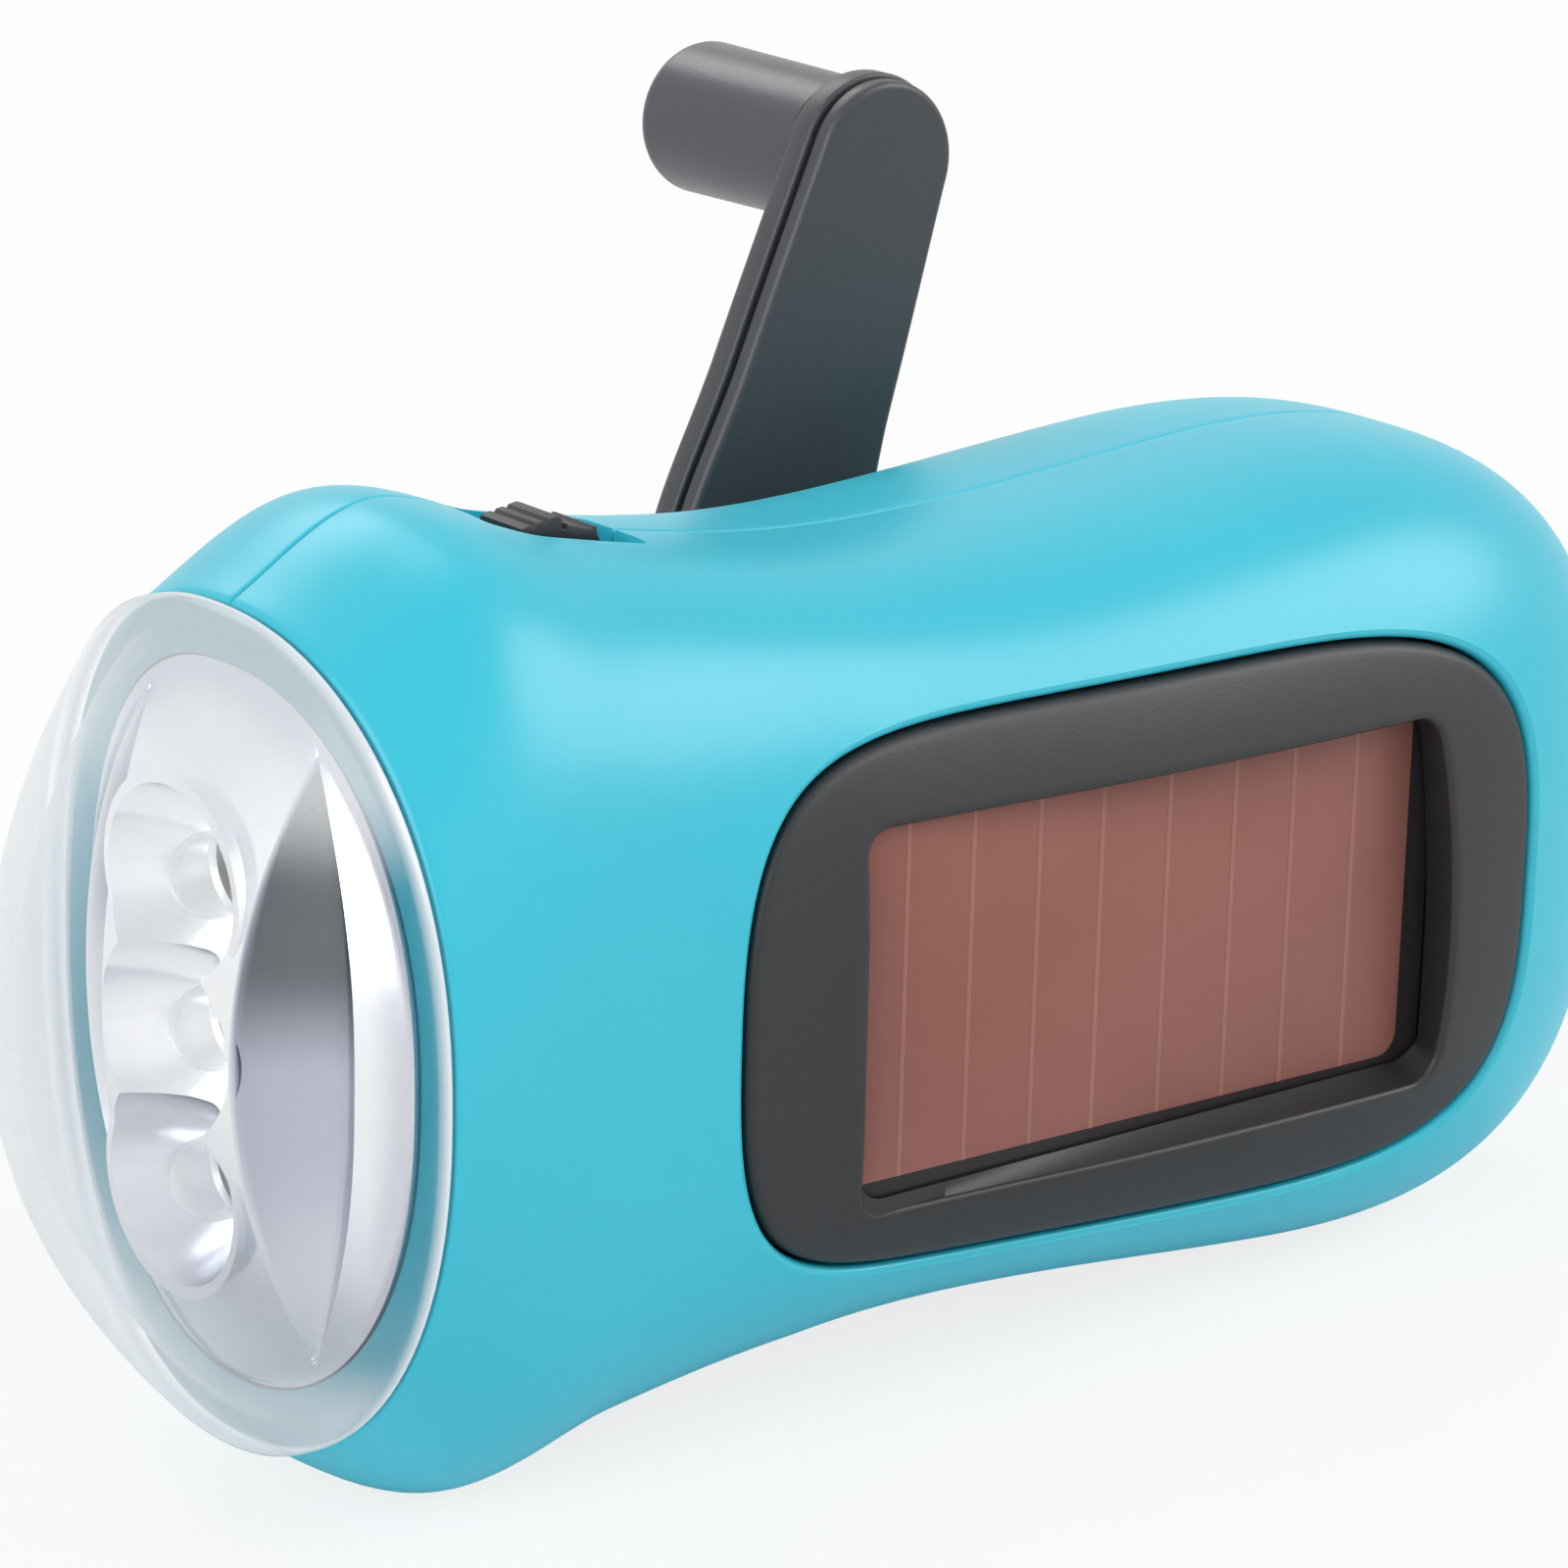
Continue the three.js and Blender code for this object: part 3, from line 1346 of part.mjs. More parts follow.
// Stand the torch on the ground, with the origin under the middle of its outer box
const flashlight = new THREE.Group();
flashlight.add(torch);
torch.rotation.y = standAngle;
const box = new THREE.Box3().setFromObject(flashlight, true);
const middle = box.getCenter(new THREE.Vector3());
torch.position.set(-middle.x, -middle.y, -box.min.z);

export default flashlight;
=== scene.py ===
import json
import math

import bpy
import bmesh
import numpy as np
from mathutils import Matrix, Vector

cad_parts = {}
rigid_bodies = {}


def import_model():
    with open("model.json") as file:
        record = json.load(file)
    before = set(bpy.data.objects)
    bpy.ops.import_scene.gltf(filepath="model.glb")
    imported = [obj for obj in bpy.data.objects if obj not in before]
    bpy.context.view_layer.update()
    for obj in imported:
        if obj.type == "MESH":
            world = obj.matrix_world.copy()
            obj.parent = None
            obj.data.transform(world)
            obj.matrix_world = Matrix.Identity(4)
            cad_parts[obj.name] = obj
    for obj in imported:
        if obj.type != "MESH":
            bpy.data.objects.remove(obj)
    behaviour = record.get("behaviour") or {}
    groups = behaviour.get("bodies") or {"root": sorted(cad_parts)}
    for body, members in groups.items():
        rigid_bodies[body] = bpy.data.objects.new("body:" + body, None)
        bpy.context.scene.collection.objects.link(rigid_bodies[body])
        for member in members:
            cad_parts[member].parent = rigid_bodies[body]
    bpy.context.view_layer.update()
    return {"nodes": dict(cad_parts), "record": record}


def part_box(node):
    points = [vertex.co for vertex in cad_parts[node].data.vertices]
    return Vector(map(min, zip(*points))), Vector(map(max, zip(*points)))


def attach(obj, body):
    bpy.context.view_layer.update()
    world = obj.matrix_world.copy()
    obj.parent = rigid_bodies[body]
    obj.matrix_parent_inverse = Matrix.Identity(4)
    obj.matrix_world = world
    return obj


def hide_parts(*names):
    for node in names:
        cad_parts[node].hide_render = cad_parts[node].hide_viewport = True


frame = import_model()
nodes = frame["nodes"]

# A hand crank flashlight in turquoise and black plastic. Pieces are drawn in the torch's own frame in
# millimetres: X from the front edge to the rear end, Y from the panel side to the crank side, Z up.
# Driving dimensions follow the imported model; the rest are finishing sizes of the visible pieces.
MM = 0.001
DEGREES = math.pi / 180

# Housing
BODY_LENGTH = 100.5
FRONT_HALF_HEIGHT = 24.6
HEIGHT_PLACES = [0, 9, 20, 35, 74, BODY_LENGTH]
HALF_HEIGHTS = [FRONT_HALF_HEIGHT, 29.2, 26.6, 24.1, 26, 27.8]
FRONT_HALF_DEPTH = 20.6
DEPTH_PLACES = [0, 27, 54, BODY_LENGTH]
HALF_DEPTHS = [FRONT_HALF_DEPTH, 18.7, 20.5, 20.2]
GRIP_HALF_DEPTH = 20.5
REAR_CAP_X = 70.5
REAR_CAP_POWER = 2.6
HEAD_SECTION_POWER = 2.23
GRIP_SECTION_POWER = 2.88
SECTION_BLEND_X = 33
FRONT_SWEEP_SIDE = 2.3
FRONT_SWEEP_TOP = 0.8
FRONT_SWEEP_FADE_X = 24
WALL = 1.8
FRONT_WALL = 3.45
FRONT_WALL_DEPTH = 3.2
PARTING_GAP = 0.1
PARTING_ROUND = 0.22
FRONT_EDGE_ROUND = 0.45
CUT_OVERRUN = 6
SEAM_GAP = 0.2
SEAT_EDGE_ROUND = 0.8
SEAT_OVERRUN = 2.5

# Screw wells of the crank side
SCREW_PLACES = [(12, 19.5), (12, -19.5), (66, 18.8), (66, -18.8)]
SCREW_WELL_DEPTH = 7.2
SCREW_WELL_RADIUS = 2.5
SCREW_BORE_RADIUS = 1.25
SCREW_BORE_DEPTH = 4
WELL_EDGE_ROUND = 0.4
BOSS_WALL = 1.3

# Front lens
LENS_DOME_HEIGHT = 10.8
LENS_RIM_HEIGHT = 1.2
LENS_THICKNESS = 1.6
LENS_SEAT_GAP = 0.12
LENS_EDGE_ROUND = 0.35
# The lens is whitened towards its top as a painted highlight, and also whitened towards its bottom
TOP_PAINTED_HIGHLIGHT = 0.42
TOP_PAINTED_HIGHLIGHT_RISE = (12, 18)
BOTTOM_WHITENING = 0.45
BOTTOM_WHITENING_RISE = (13, 20)

# Reflector and lamps
REFLECTOR_INSET = 3.6
REFLECTOR_DOME_HEIGHT = 4.8
REFLECTOR_SETBACK = 0.4
REFLECTOR_THICKNESS = 1
REFLECTOR_FLANGE_DEPTH = 3
HOLLOW_DEPTH = 4.2
HOLLOW_HALF_HEIGHT = 18
HOLLOW_CREASE_Y = 6.7
HOLLOW_CREASE_BOW = 1.9
HOLLOW_RIDGE_Y = 14.1
HOLLOW_RIDGE_BOW = 5.6
CUP_PITCH = 9
CUP_HEIGHTS = {"upper": CUP_PITCH, "middle": 0, "lower": -CUP_PITCH}
CUP_MOUTH_RADIUS = 5.7
CUP_WIDTH_SHARE = 1.16
CUP_BASE_RADIUS = 3
CUP_DEPTH = 6.2
CUP_MOUTH_X = -3.8
LAMP_BASE_X = 4.7
LAMP_RADIUS = 2.5
LAMP_LENGTH = 7.4
LAMP_FLANGE_RADIUS = 2.8
LAMP_FLANGE_THICKNESS = 1
LAMP_GAP = 0.35
LEAD_FRAME_RADII = (2.7, 2.7, 1.3, 1.3, 1, 0.5)
LEAD_FRAME_PLACES = (0.3, 0.05, -0.1, -2.6, -2.6, -2)

# Solar panel and bezel
WINDOW_FRONT_X = 32.2
WINDOW_LENGTH = 43.6
WINDOW_HEIGHT = 22.7
WINDOW_CENTRE_X = WINDOW_FRONT_X + WINDOW_LENGTH / 2
WINDOW_CENTRE_Z = -0.7
WINDOW_CORNER = 1.6
WINDOW_UPPER_RISE = 0.75
WINDOW_LOWER_DROPS = (0.85, 0.25)
WINDOW_FRONT_LEAN = 0.7
WINDOW_LIP = 0.45
WINDOW_REAR_REACH = 1
WINDOW_REAR_BOW = 1.9
WINDOW_REAR_BOW_Z = -4.3
WINDOW_REAR_BOW_HEIGHT = 16
WINDOW_DRAFT = 0.25
WINDOW_WALL_SLOPE = 1.15
WINDOW_SLOPE_START = (9, 11.5)
PANEL_DEPTH_BELOW_SIDE = 3.1
PANEL_SEAT = (WINDOW_LENGTH + 3, WINDOW_HEIGHT + 3)
PANEL_SEAT_CORNER = 4
PANEL_TO_BEZEL_GAP = 0.12
BEZEL_FRONT_X = 23.5
BEZEL_LENGTH = 60.3
BEZEL_FRONT_HALF_HEIGHT = 16.1
BEZEL_REAR_HALF_HEIGHT = 17.7
BEZEL_CENTRE_Z = -0.5
BEZEL_FRONT_POWERS = (6, 2.7)
BEZEL_REAR_POWERS = (4.2, 3.4)
BEZEL_PROUD = -0.15
BEZEL_DEPTH = 5.8
BEZEL_ROUND = 0.6
FILM_REAR_X = 75.1
FILM_LOW_Z = -10.9
FILM_MARGIN = 0.3
FILM_CORNER = 1.5
CELL_LINES = (35.65, 40.5, 45.5, 50.3, 55.5, 60.7, 65.4, 70.5)
CELL_LINE_WIDTH = 0.34
GLASS_MARGIN = 1.2
GLASS_THICKNESS = 1.4

# Switch
SWITCH_X = 21.3
SWITCH_RECESS_LENGTH = 11.8
SWITCH_RECESS_WIDTH = 7
SWITCH_RECESS_DEPTH = 1
SWITCH_SLOT_LENGTH = 6.2
SWITCH_SLOT_WIDTH = 3.2
SWITCH_REST_X = 0.8
SWITCH_TRAVEL = 3.2
SLIDER_WIDTH = 4.2

# Crank
CRANK_X = 51
CRANK_TILT = 19
CRANK_THROW = 41.7
HINGE_OFFSET = 5.5
ARM_FACE_GAP = 2.1
ARM_THICKNESS = 3.8
ARM_START = 3
ARM_SHOULDER = 6.5
ARM_END_RADIUS = 5.6
ARM_HALF_WIDTHS = [6.3, 7.2, 6.6, ARM_END_RADIUS]
ARM_COVER_THICKNESS = 1.35
ARM_COVER_INSET = 0.3
ARM_COVER_GROOVE = 0.25
ARM_COVER_ROOM = (12.6, 8.2)
NECK_LENGTH = 8
NECK_WIDTH = 7.6
BARREL_RADIUS = 1.9
EAR_RADIUS = 2.1
EAR_THICKNESS = 2.2
PIN_RADIUS = 0.8
PIN_HALF_LENGTH = 6.3
PIN_OVERRUN = 8
ARM_PIN_HOLE_RADIUS = 1
EAR_PIN_HOLE_RADIUS = 0.95
HUB_RADIUS = 11
HUB_THICKNESS = 3.2
HUB_ROUND = 0.7
HUB_TO_ARM_GAP = 0.4
RUNNING_GAP = 0.3
RECESS_EDGE_ROUND = 0.5
KNOB_RADIUS = 4.85
KNOB_FREE_RADIUS = 5.05
KNOB_LENGTH = 16.4
KNOB_ROUND = 1.3
KNOB_CHAMFER = 0.4
KNOB_RECESS_RADIUS = 2.6
KNOB_RECESS_DRAFT = 0.15
KNOB_RECESS_DEPTH = 0.15
POCKET_GAP = 0.8
POCKET_END_GAP = 1
POCKET_EDGE_ROUND = 0.6


def linear(hex_colour):
    """An sRGB hex colour as linear RGBA."""
    shares = [int(hex_colour[i:i + 2], 16) / 255 for i in (1, 3, 5)]
    return [s / 12.92 if s <= 0.04045 else ((s + 0.055) / 1.055) ** 2.4 for s in shares] + [1]


# The torch's own frame in the model: the lamps stand in a column square to its length
def middle_of(node):
    low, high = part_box(node)
    return (low + high) / 2


UP = (middle_of("lamp_upper") - middle_of("lamp_lower")).normalized()
ACROSS = Vector((0, 1, 0))
ALONG = ACROSS.cross(UP)
AXLE = middle_of("crank_axle")
ORIGIN = Vector((AXLE.x, middle_of("lamp_middle").y, AXLE.z)) - ALONG * CRANK_X * MM
TORCH = Matrix.Translation(ORIGIN) @ Matrix((ALONG, ACROSS, UP)).transposed().to_4x4() @ Matrix.Scale(MM, 4)


def turned_about_y(degrees, x, z):
    """A place in the torch's frame, turned about Y."""
    return TORCH @ Matrix.Translation((x, 0, z)) @ Matrix.Rotation(degrees * DEGREES, 4, "Y")


# Form of the housing
FINE_STEPS = 600


def curve_through(places, values):
    """A smooth curve through points: a cubic between each pair."""
    places, values = np.array(places, float), np.array(values, float)
    between = np.diff(values) / np.diff(places)
    before, after = np.diff(places)[:-1], np.diff(places)[1:]
    inner = (between[:-1] * after + between[1:] * before) / (before + after)
    slopes = np.concatenate([between[:1], inner, between[-1:]])

    def curve(place):
        held = np.clip(place, places[0], places[-1])
        i = np.clip(np.searchsorted(places, held, side="right") - 1, 0, len(places) - 2)
        span = places[i + 1] - places[i]
        t = (held - places[i]) / span
        return (
            values[i] * (1 + 2 * t) * (1 - t) ** 2
            + values[i + 1] * t * t * (3 - 2 * t)
            + span * t * (1 - t) * (slopes[i] * (1 - t) - slopes[i + 1] * t)
        )

    return curve


half_height = curve_through(HEIGHT_PLACES, HALF_HEIGHTS)
half_depth = curve_through(DEPTH_PLACES, HALF_DEPTHS)
section_power = curve_through([0, SECTION_BLEND_X], [HEAD_SECTION_POWER, GRIP_SECTION_POWER])


def front_sweep(depth_share, height_share):
    """How far the front edge is swept back off the axis."""
    return FRONT_SWEEP_SIDE * depth_share ** 2 + FRONT_SWEEP_TOP * height_share ** 2


def sweep_at(y, z):
    return front_sweep(y / FRONT_HALF_DEPTH, z / FRONT_HALF_HEIGHT)


def front_share(y, z):
    """0 in the middle of the front section and 1 on its edge."""
    depth, height = np.abs(y / FRONT_HALF_DEPTH), np.abs(z / FRONT_HALF_HEIGHT)
    return depth ** HEAD_SECTION_POWER + height ** HEAD_SECTION_POWER


def sweep_fade(x):
    """1 at the front edge, falling softly to 0 behind it."""
    return np.maximum(1 - np.maximum(x, 0) / FRONT_SWEEP_FADE_X, 0) ** 2


def evenly_spaced(first, second, count, reach=(1, 1), closed=False):
    """Points at even steps along a line in two coordinates, whose lengths are measured times a reach."""
    if closed:
        first, second = np.append(first, first[0]), np.append(second, second[0])
    steps = np.hypot(np.diff(first) * reach[0], np.diff(second) * reach[1])
    run = np.concatenate([[0], np.cumsum(steps)])
    at = np.linspace(0, run[-1], count, endpoint=not closed)
    return np.interp(at, run, first), np.interp(at, run, second)


def quarter_shares(depth, height, power, count):
    """Evenly spaced points of a section's quarter, from its top to its side, as shares."""
    t = np.linspace(0, math.pi / 2, FINE_STEPS)
    return evenly_spaced(np.sin(t) ** (2 / power), np.cos(t) ** (2 / power), count + 1, (depth, height))


def half_shares(depth, height, power, count):
    """The side half of a section, from its top to its bottom."""
    y, z = quarter_shares(depth, height, power, count)
    return np.concatenate([y, y[-2::-1]]), np.concatenate([z, -z[-2::-1]])


def cap_scale(x, inset=0):
    """How far the rear cap has closed: 1 where it starts and 0 at the rear end."""
    along = np.clip((x - REAR_CAP_X) / (BODY_LENGTH - inset - REAR_CAP_X), 0, 1)
    return (1 - along ** REAR_CAP_POWER) ** (1 / REAR_CAP_POWER)


def side_depth(x, z, inset=0):
    """How far the housing's side lies from its middle plane."""
    scale = cap_scale(x, inset)
    share = np.clip(np.abs(z) / ((half_height(x) - inset) * scale), 0, 1)
    power = section_power(x)
    return (half_depth(x) - inset) * scale * (1 - share ** power) ** (1 / power)


# Meshes
def skinned(rings, closed=False):
    """Vertices and faces of a skin over rings of points, with flat ends or closed on itself."""
    rings = np.asarray(rings, float)
    count, sides = rings.shape[:2]
    at = np.arange(count * sides).reshape(count, sides)
    here, there = (at, np.roll(at, -1, 0)) if closed else (at[:-1], at[1:])
    quads = np.stack([here, np.roll(here, -1, 1), np.roll(there, -1, 1), there], -1).reshape(-1, 4)
    faces = quads.tolist()
    if not closed:
        faces += [at[0][::-1].tolist(), at[-1].tolist()]
    return rings.reshape(-1, 3), faces


def mesh_of(name, vertices, faces, matrix=TORCH):
    """A closed mesh in the model's frame, with double points merged and its faces turned outwards."""
    mesh = bpy.data.meshes.new(name)
    mesh.from_pydata(np.asarray(vertices, float).tolist(), [], faces)
    form = bmesh.new()
    form.from_mesh(mesh)
    bmesh.ops.remove_doubles(form, verts=form.verts, dist=1e-4)
    bmesh.ops.dissolve_degenerate(form, edges=form.edges, dist=1e-5)
    bmesh.ops.recalc_face_normals(form, faces=form.faces)
    form.transform(matrix)
    form.to_mesh(mesh)
    form.free()
    return bpy.data.objects.new(name, mesh)


def merged(name, parts):
    """Several separate closed forms as one mesh."""
    vertices, faces, start = [], [], 0
    for part_vertices, part_faces in parts:
        vertices.append(np.asarray(part_vertices, float))
        faces += [[start + i for i in face] for face in part_faces]
        start += len(part_vertices)
    return mesh_of(name, np.concatenate(vertices), faces)


def combined(piece, tools, operation="DIFFERENCE"):
    """The piece with closed tools cut from it, or joined to it."""
    scene_objects = bpy.context.scene.collection.objects
    scene_objects.link(piece)
    for tool in tools:
        scene_objects.link(tool)
        change = piece.modifiers.new(operation.lower(), "BOOLEAN")
        change.operation = operation
        change.solver = "MANIFOLD"
        change.object = tool
    depsgraph = bpy.context.evaluated_depsgraph_get()
    mesh = bpy.data.meshes.new_from_object(piece.evaluated_get(depsgraph))
    piece.modifiers.clear()
    piece.data = mesh
    for tool in tools:
        bpy.data.objects.remove(tool)
    scene_objects.unlink(piece)
    return piece


def toned(piece, name, share_at):
    """Keeps a share at each point of the surface, worked out from its place in the torch's frame."""
    inverse = TORCH.inverted()
    places = np.array([inverse @ vertex.co for vertex in piece.data.vertices])
    layer = piece.data.attributes.new(name, "FLOAT", "POINT")
    layer.data.foreach_set("value", np.clip(share_at(*places.T), 0, 1).astype(np.float32))


def eased(value, low, high):
    """0 below the low value, 1 above the high one, and a soft rise between them."""
    share = np.clip((value - low) / (high - low), 0, 1)
    return share * share * (3 - 2 * share)


def placed(piece, body, material, replaced=(), angle=32):
    """Shades a finished piece smoothly and seats it on its body."""
    bpy.context.scene.collection.objects.link(piece)
    piece.data.shade_smooth()
    piece.data.set_sharp_from_angle(angle=angle * DEGREES)
    piece.data.materials.clear()
    piece.data.materials.append(material)
    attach(piece, body)
    if replaced:
        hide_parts(*replaced)
    return piece


# Outlines in two coordinates, counterclockwise
def outward(outline):
    """The outward normals of a closed outline."""
    step = np.roll(outline, -1, 0) - np.roll(outline, 1, 0)
    normal = np.stack([step[:, 1], -step[:, 0]], -1)
    normal /= np.linalg.norm(normal, axis=1)[:, None]
    turn = np.sum(outline[:, 0] * np.roll(outline[:, 1], -1) - np.roll(outline[:, 0], -1) * outline[:, 1])
    return normal if turn > 0 else -normal


def circle(x, z, radius, count=64):
    angle = np.linspace(0, 2 * math.pi, count, endpoint=False)
    return np.stack([x + radius * np.cos(angle), z + radius * np.sin(angle)], -1)


def rounded_rectangle(length, height, corner, corner_count=8, edge_count=12):
    """A rectangle about zero with round corners and points along its edges."""
    middle = np.array([length / 2 - corner, height / 2 - corner])
    arcs = []
    for i, sides in enumerate([(1, 1), (-1, 1), (-1, -1), (1, -1)]):
        angle = i * math.pi / 2 + np.linspace(0, math.pi / 2, corner_count + 1)
        arcs.append(middle * sides + corner * np.stack([np.cos(angle), np.sin(angle)], -1))
    edges = [np.linspace(a[-1], b[0], edge_count + 1)[1:-1] for a, b in zip(arcs, arcs[1:] + arcs[:1])]
    return np.concatenate([points for pair in zip(arcs, edges) for points in pair])


def at_depth(outline, y):
    """An outline in X and Z as points at one Y, or at a Y for each point."""
    return np.stack([outline[:, 0], np.broadcast_to(y, len(outline)), outline[:, 1]], -1)


def at_height(outline, z):
    """An outline in X and Y as points at one Z."""
    return np.stack([outline[:, 0], outline[:, 1], np.full(len(outline), z)], -1)


def fillet(radius, steps, end=90):
    """Pairs of inset and drop round an edge, from its wall to its face."""
    angles = np.linspace(0, end, steps + 1) * DEGREES
    return [(radius - radius * math.cos(a), radius - radius * math.sin(a)) for a in angles]


def plate(outline, low, high, low_round, high_round, steps=4):
    """A plate with rounded rims, from its low Y to its high one."""
    normal = outward(outline)
    lower = [at_depth(outline - normal * inset, low + drop) for inset, drop in fillet(low_round, steps)]
    upper = [at_depth(outline - normal * inset, high - drop) for inset, drop in fillet(high_round, steps)]
    return skinned(lower[::-1] + upper)


def edged_hole(name, outline, floor_y, side, edge_round):
    """A tool that cuts a hole into the housing's side and rounds the rim that it leaves."""
    normal = outward(outline)

    def ring(offset, depth):
        flat = outline + normal * offset
        return at_depth(flat, side * (side_depth(*flat.T) - depth))

    rings = [at_depth(outline, floor_y)]
    rings += [ring(offset, depth) for offset, depth in fillet(edge_round, 5, 70)]
    rings += [ring(1.3 * edge_round, -edge_round), at_depth(outline, side * 2 * FRONT_HALF_DEPTH)]
    return mesh_of(name, *skinned(rings))


def boss(outline, low_y, side):
    """A solid that stands from a level up into the housing's wall."""
    top = side * (side_depth(*outline.T) - WALL / 3)
    return skinned([at_depth(outline, low_y), at_depth(outline, top)])


# Housing halves
STRAIGHT_STATIONS = 120
CAP_STATIONS = 44
QUARTER_POINTS = 44
STATION_CROWDING = 1.15
ROUND_STEPS = 4
OUTLINE_STEPS = 4000


def cap_places():
    """Evenly spaced pairs of length share and scale over the rear cap."""
    t = np.linspace(0, math.pi / 2, FINE_STEPS)
    along, scale = np.sin(t) ** (2 / REAR_CAP_POWER), np.cos(t) ** (2 / REAR_CAP_POWER)
    reach = (BODY_LENGTH - REAR_CAP_X, HALF_HEIGHTS[-1])
    return list(zip(*evenly_spaced(along, scale, CAP_STATIONS + 1, reach)))[1:]


def shell_half(side):
    """Vertices and faces of one half: an outer and an inner skin, with a rounded front and parting rim."""
    straight = REAR_CAP_X * np.linspace(0, 1, STRAIGHT_STATIONS + 1) ** STATION_CROWDING
    front = FRONT_EDGE_ROUND * (1 - np.cos(np.linspace(0, 90, ROUND_STEPS + 1) * DEGREES))
    straight = np.concatenate([front, straight[straight > FRONT_EDGE_ROUND * 1.5]])
    stations = [(x, 0, 1) for x in straight] + [(REAR_CAP_X, *place) for place in cap_places()]
    edge = PARTING_GAP / 2
    rounding = fillet(PARTING_ROUND, ROUND_STEPS)
    outer, inner = [], []
    for x, along, scale in stations:
        rim = max(FRONT_EDGE_ROUND - x, 0)
        rim_inset = FRONT_EDGE_ROUND - math.sqrt(FRONT_EDGE_ROUND ** 2 - rim ** 2)
        at_x = x + along * (BODY_LENGTH - REAR_CAP_X)
        depth, height, power = half_depth(at_x), half_height(at_x), section_power(at_x)
        y_share, z_share = half_shares(depth, height, power, QUARTER_POINTS)

        def line(inset, y_share, z_share, low_y, cap_inset):
            place = x + along * (BODY_LENGTH - cap_inset - REAR_CAP_X)
            y = np.maximum((depth - inset) * scale * y_share, low_y)
            z = (height - inset) * scale * z_share
            swept = place + front_sweep(y_share, z_share) * sweep_fade(place) * scale
            return np.stack([swept, side * y, z], -1)

        def parting_rim(end):
            return [line(rim_inset + drop, np.zeros(1), end, edge + inset, drop) for inset, drop in rounding]

        body = line(rim_inset, y_share[1:-1], z_share[1:-1], edge + PARTING_ROUND, 0)
        outer.append(np.concatenate(parting_rim(np.ones(1)) + [body] + parting_rim(-np.ones(1))[::-1]))
        wall = FRONT_WALL if x < FRONT_WALL_DEPTH else WALL
        lining = line(wall, y_share, z_share, edge, wall)
        pad = len(rounding) - 1
        inner.append(np.concatenate([lining[:1]] * pad + [lining] + [lining[-1:]] * pad))
    outer, inner = np.array(outer), np.array(inner)
    loops = np.concatenate([outer, inner[:, ::-1]], 1)
    vertices, faces = skinned(loops)
    faces = faces[:-2]
    width = outer.shape[1]
    total = 2 * width
    faces += [[j, j + 1, total - 2 - j, total - 1 - j] for j in range(width - 1)]
    return vertices, faces


def flattened(piece):
    """Takes off what lies under the ground: the narrow flat feet of the head and the grip."""
    for vertex in piece.data.vertices:
        vertex.co.z = max(vertex.co.z, 0)
    return piece


def bezel_outline(offset, count=320):
    """The bezel's outline: a rounded rectangle whose sides bow."""
    angle = np.linspace(0, 2 * math.pi, OUTLINE_STEPS, endpoint=False)
    at_rear = np.cos(angle) > 0
    along_power = np.where(at_rear, BEZEL_REAR_POWERS[0], BEZEL_FRONT_POWERS[0])
    height_power = np.where(at_rear, BEZEL_REAR_POWERS[1], BEZEL_FRONT_POWERS[1])
    along = np.sign(np.cos(angle)) * np.abs(np.cos(angle)) ** (2 / along_power)
    height = np.sign(np.sin(angle)) * np.abs(np.sin(angle)) ** (2 / height_power)
    rear = (along + 1) / 2
    half = BEZEL_FRONT_HALF_HEIGHT + (BEZEL_REAR_HALF_HEIGHT - BEZEL_FRONT_HALF_HEIGHT) * rear
    x = BEZEL_FRONT_X + BEZEL_LENGTH / 2 + (BEZEL_LENGTH / 2 + offset) * along
    z = BEZEL_CENTRE_Z + (half + offset) * height
    return np.stack(evenly_spaced(x, z, count, closed=True), -1)


SWITCH_STEP = SWITCH_RECESS_LENGTH / 2
SWITCH_SLOPE = float(half_height(SWITCH_X + SWITCH_STEP) - half_height(SWITCH_X - SWITCH_STEP))
SWITCH_TILT = math.atan(-SWITCH_SLOPE / (2 * SWITCH_STEP)) / DEGREES
SWITCH_HEIGHT = float(half_height(SWITCH_X))
SWITCH = turned_about_y(SWITCH_TILT, SWITCH_X, SWITCH_HEIGHT)
CRANK = turned_about_y(CRANK_TILT - 90, CRANK_X, 0)

SIDE_Y = float(half_depth(CRANK_X))
ARM_INNER_Y = SIDE_Y + ARM_FACE_GAP
ARM_OUTER_Y = ARM_INNER_Y + ARM_THICKNESS
ARM_MIDDLE_Y = (ARM_INNER_Y + ARM_OUTER_Y) / 2
HUB_OUTER_Y = ARM_INNER_Y - HUB_TO_ARM_GAP
HUB_INNER_Y = HUB_OUTER_Y - HUB_THICKNESS
RECESS_FLOOR_Y = HUB_INNER_Y - RUNNING_GAP
KNOB_INNER_Y = ARM_OUTER_Y + RUNNING_GAP
KNOB_OUTER_Y = KNOB_INNER_Y + KNOB_LENGTH
POCKET_X = CRANK_X - (CRANK_THROW - 2 * HINGE_OFFSET)
POCKET_RADIUS = KNOB_FREE_RADIUS + POCKET_GAP
POCKET_FLOOR_Y = 2 * ARM_MIDDLE_Y - KNOB_OUTER_Y - POCKET_END_GAP
SCREW_SEAT_Y = SIDE_Y - SCREW_WELL_DEPTH


def slope_box(length, width, low, high, middle_x=0, corner=0.6):
    """A box with round corners, standing on the switch's slope."""
    outline = rounded_rectangle(length, width, corner) + [middle_x, 0]
    return skinned([at_height(outline, z) for z in (low, high)])


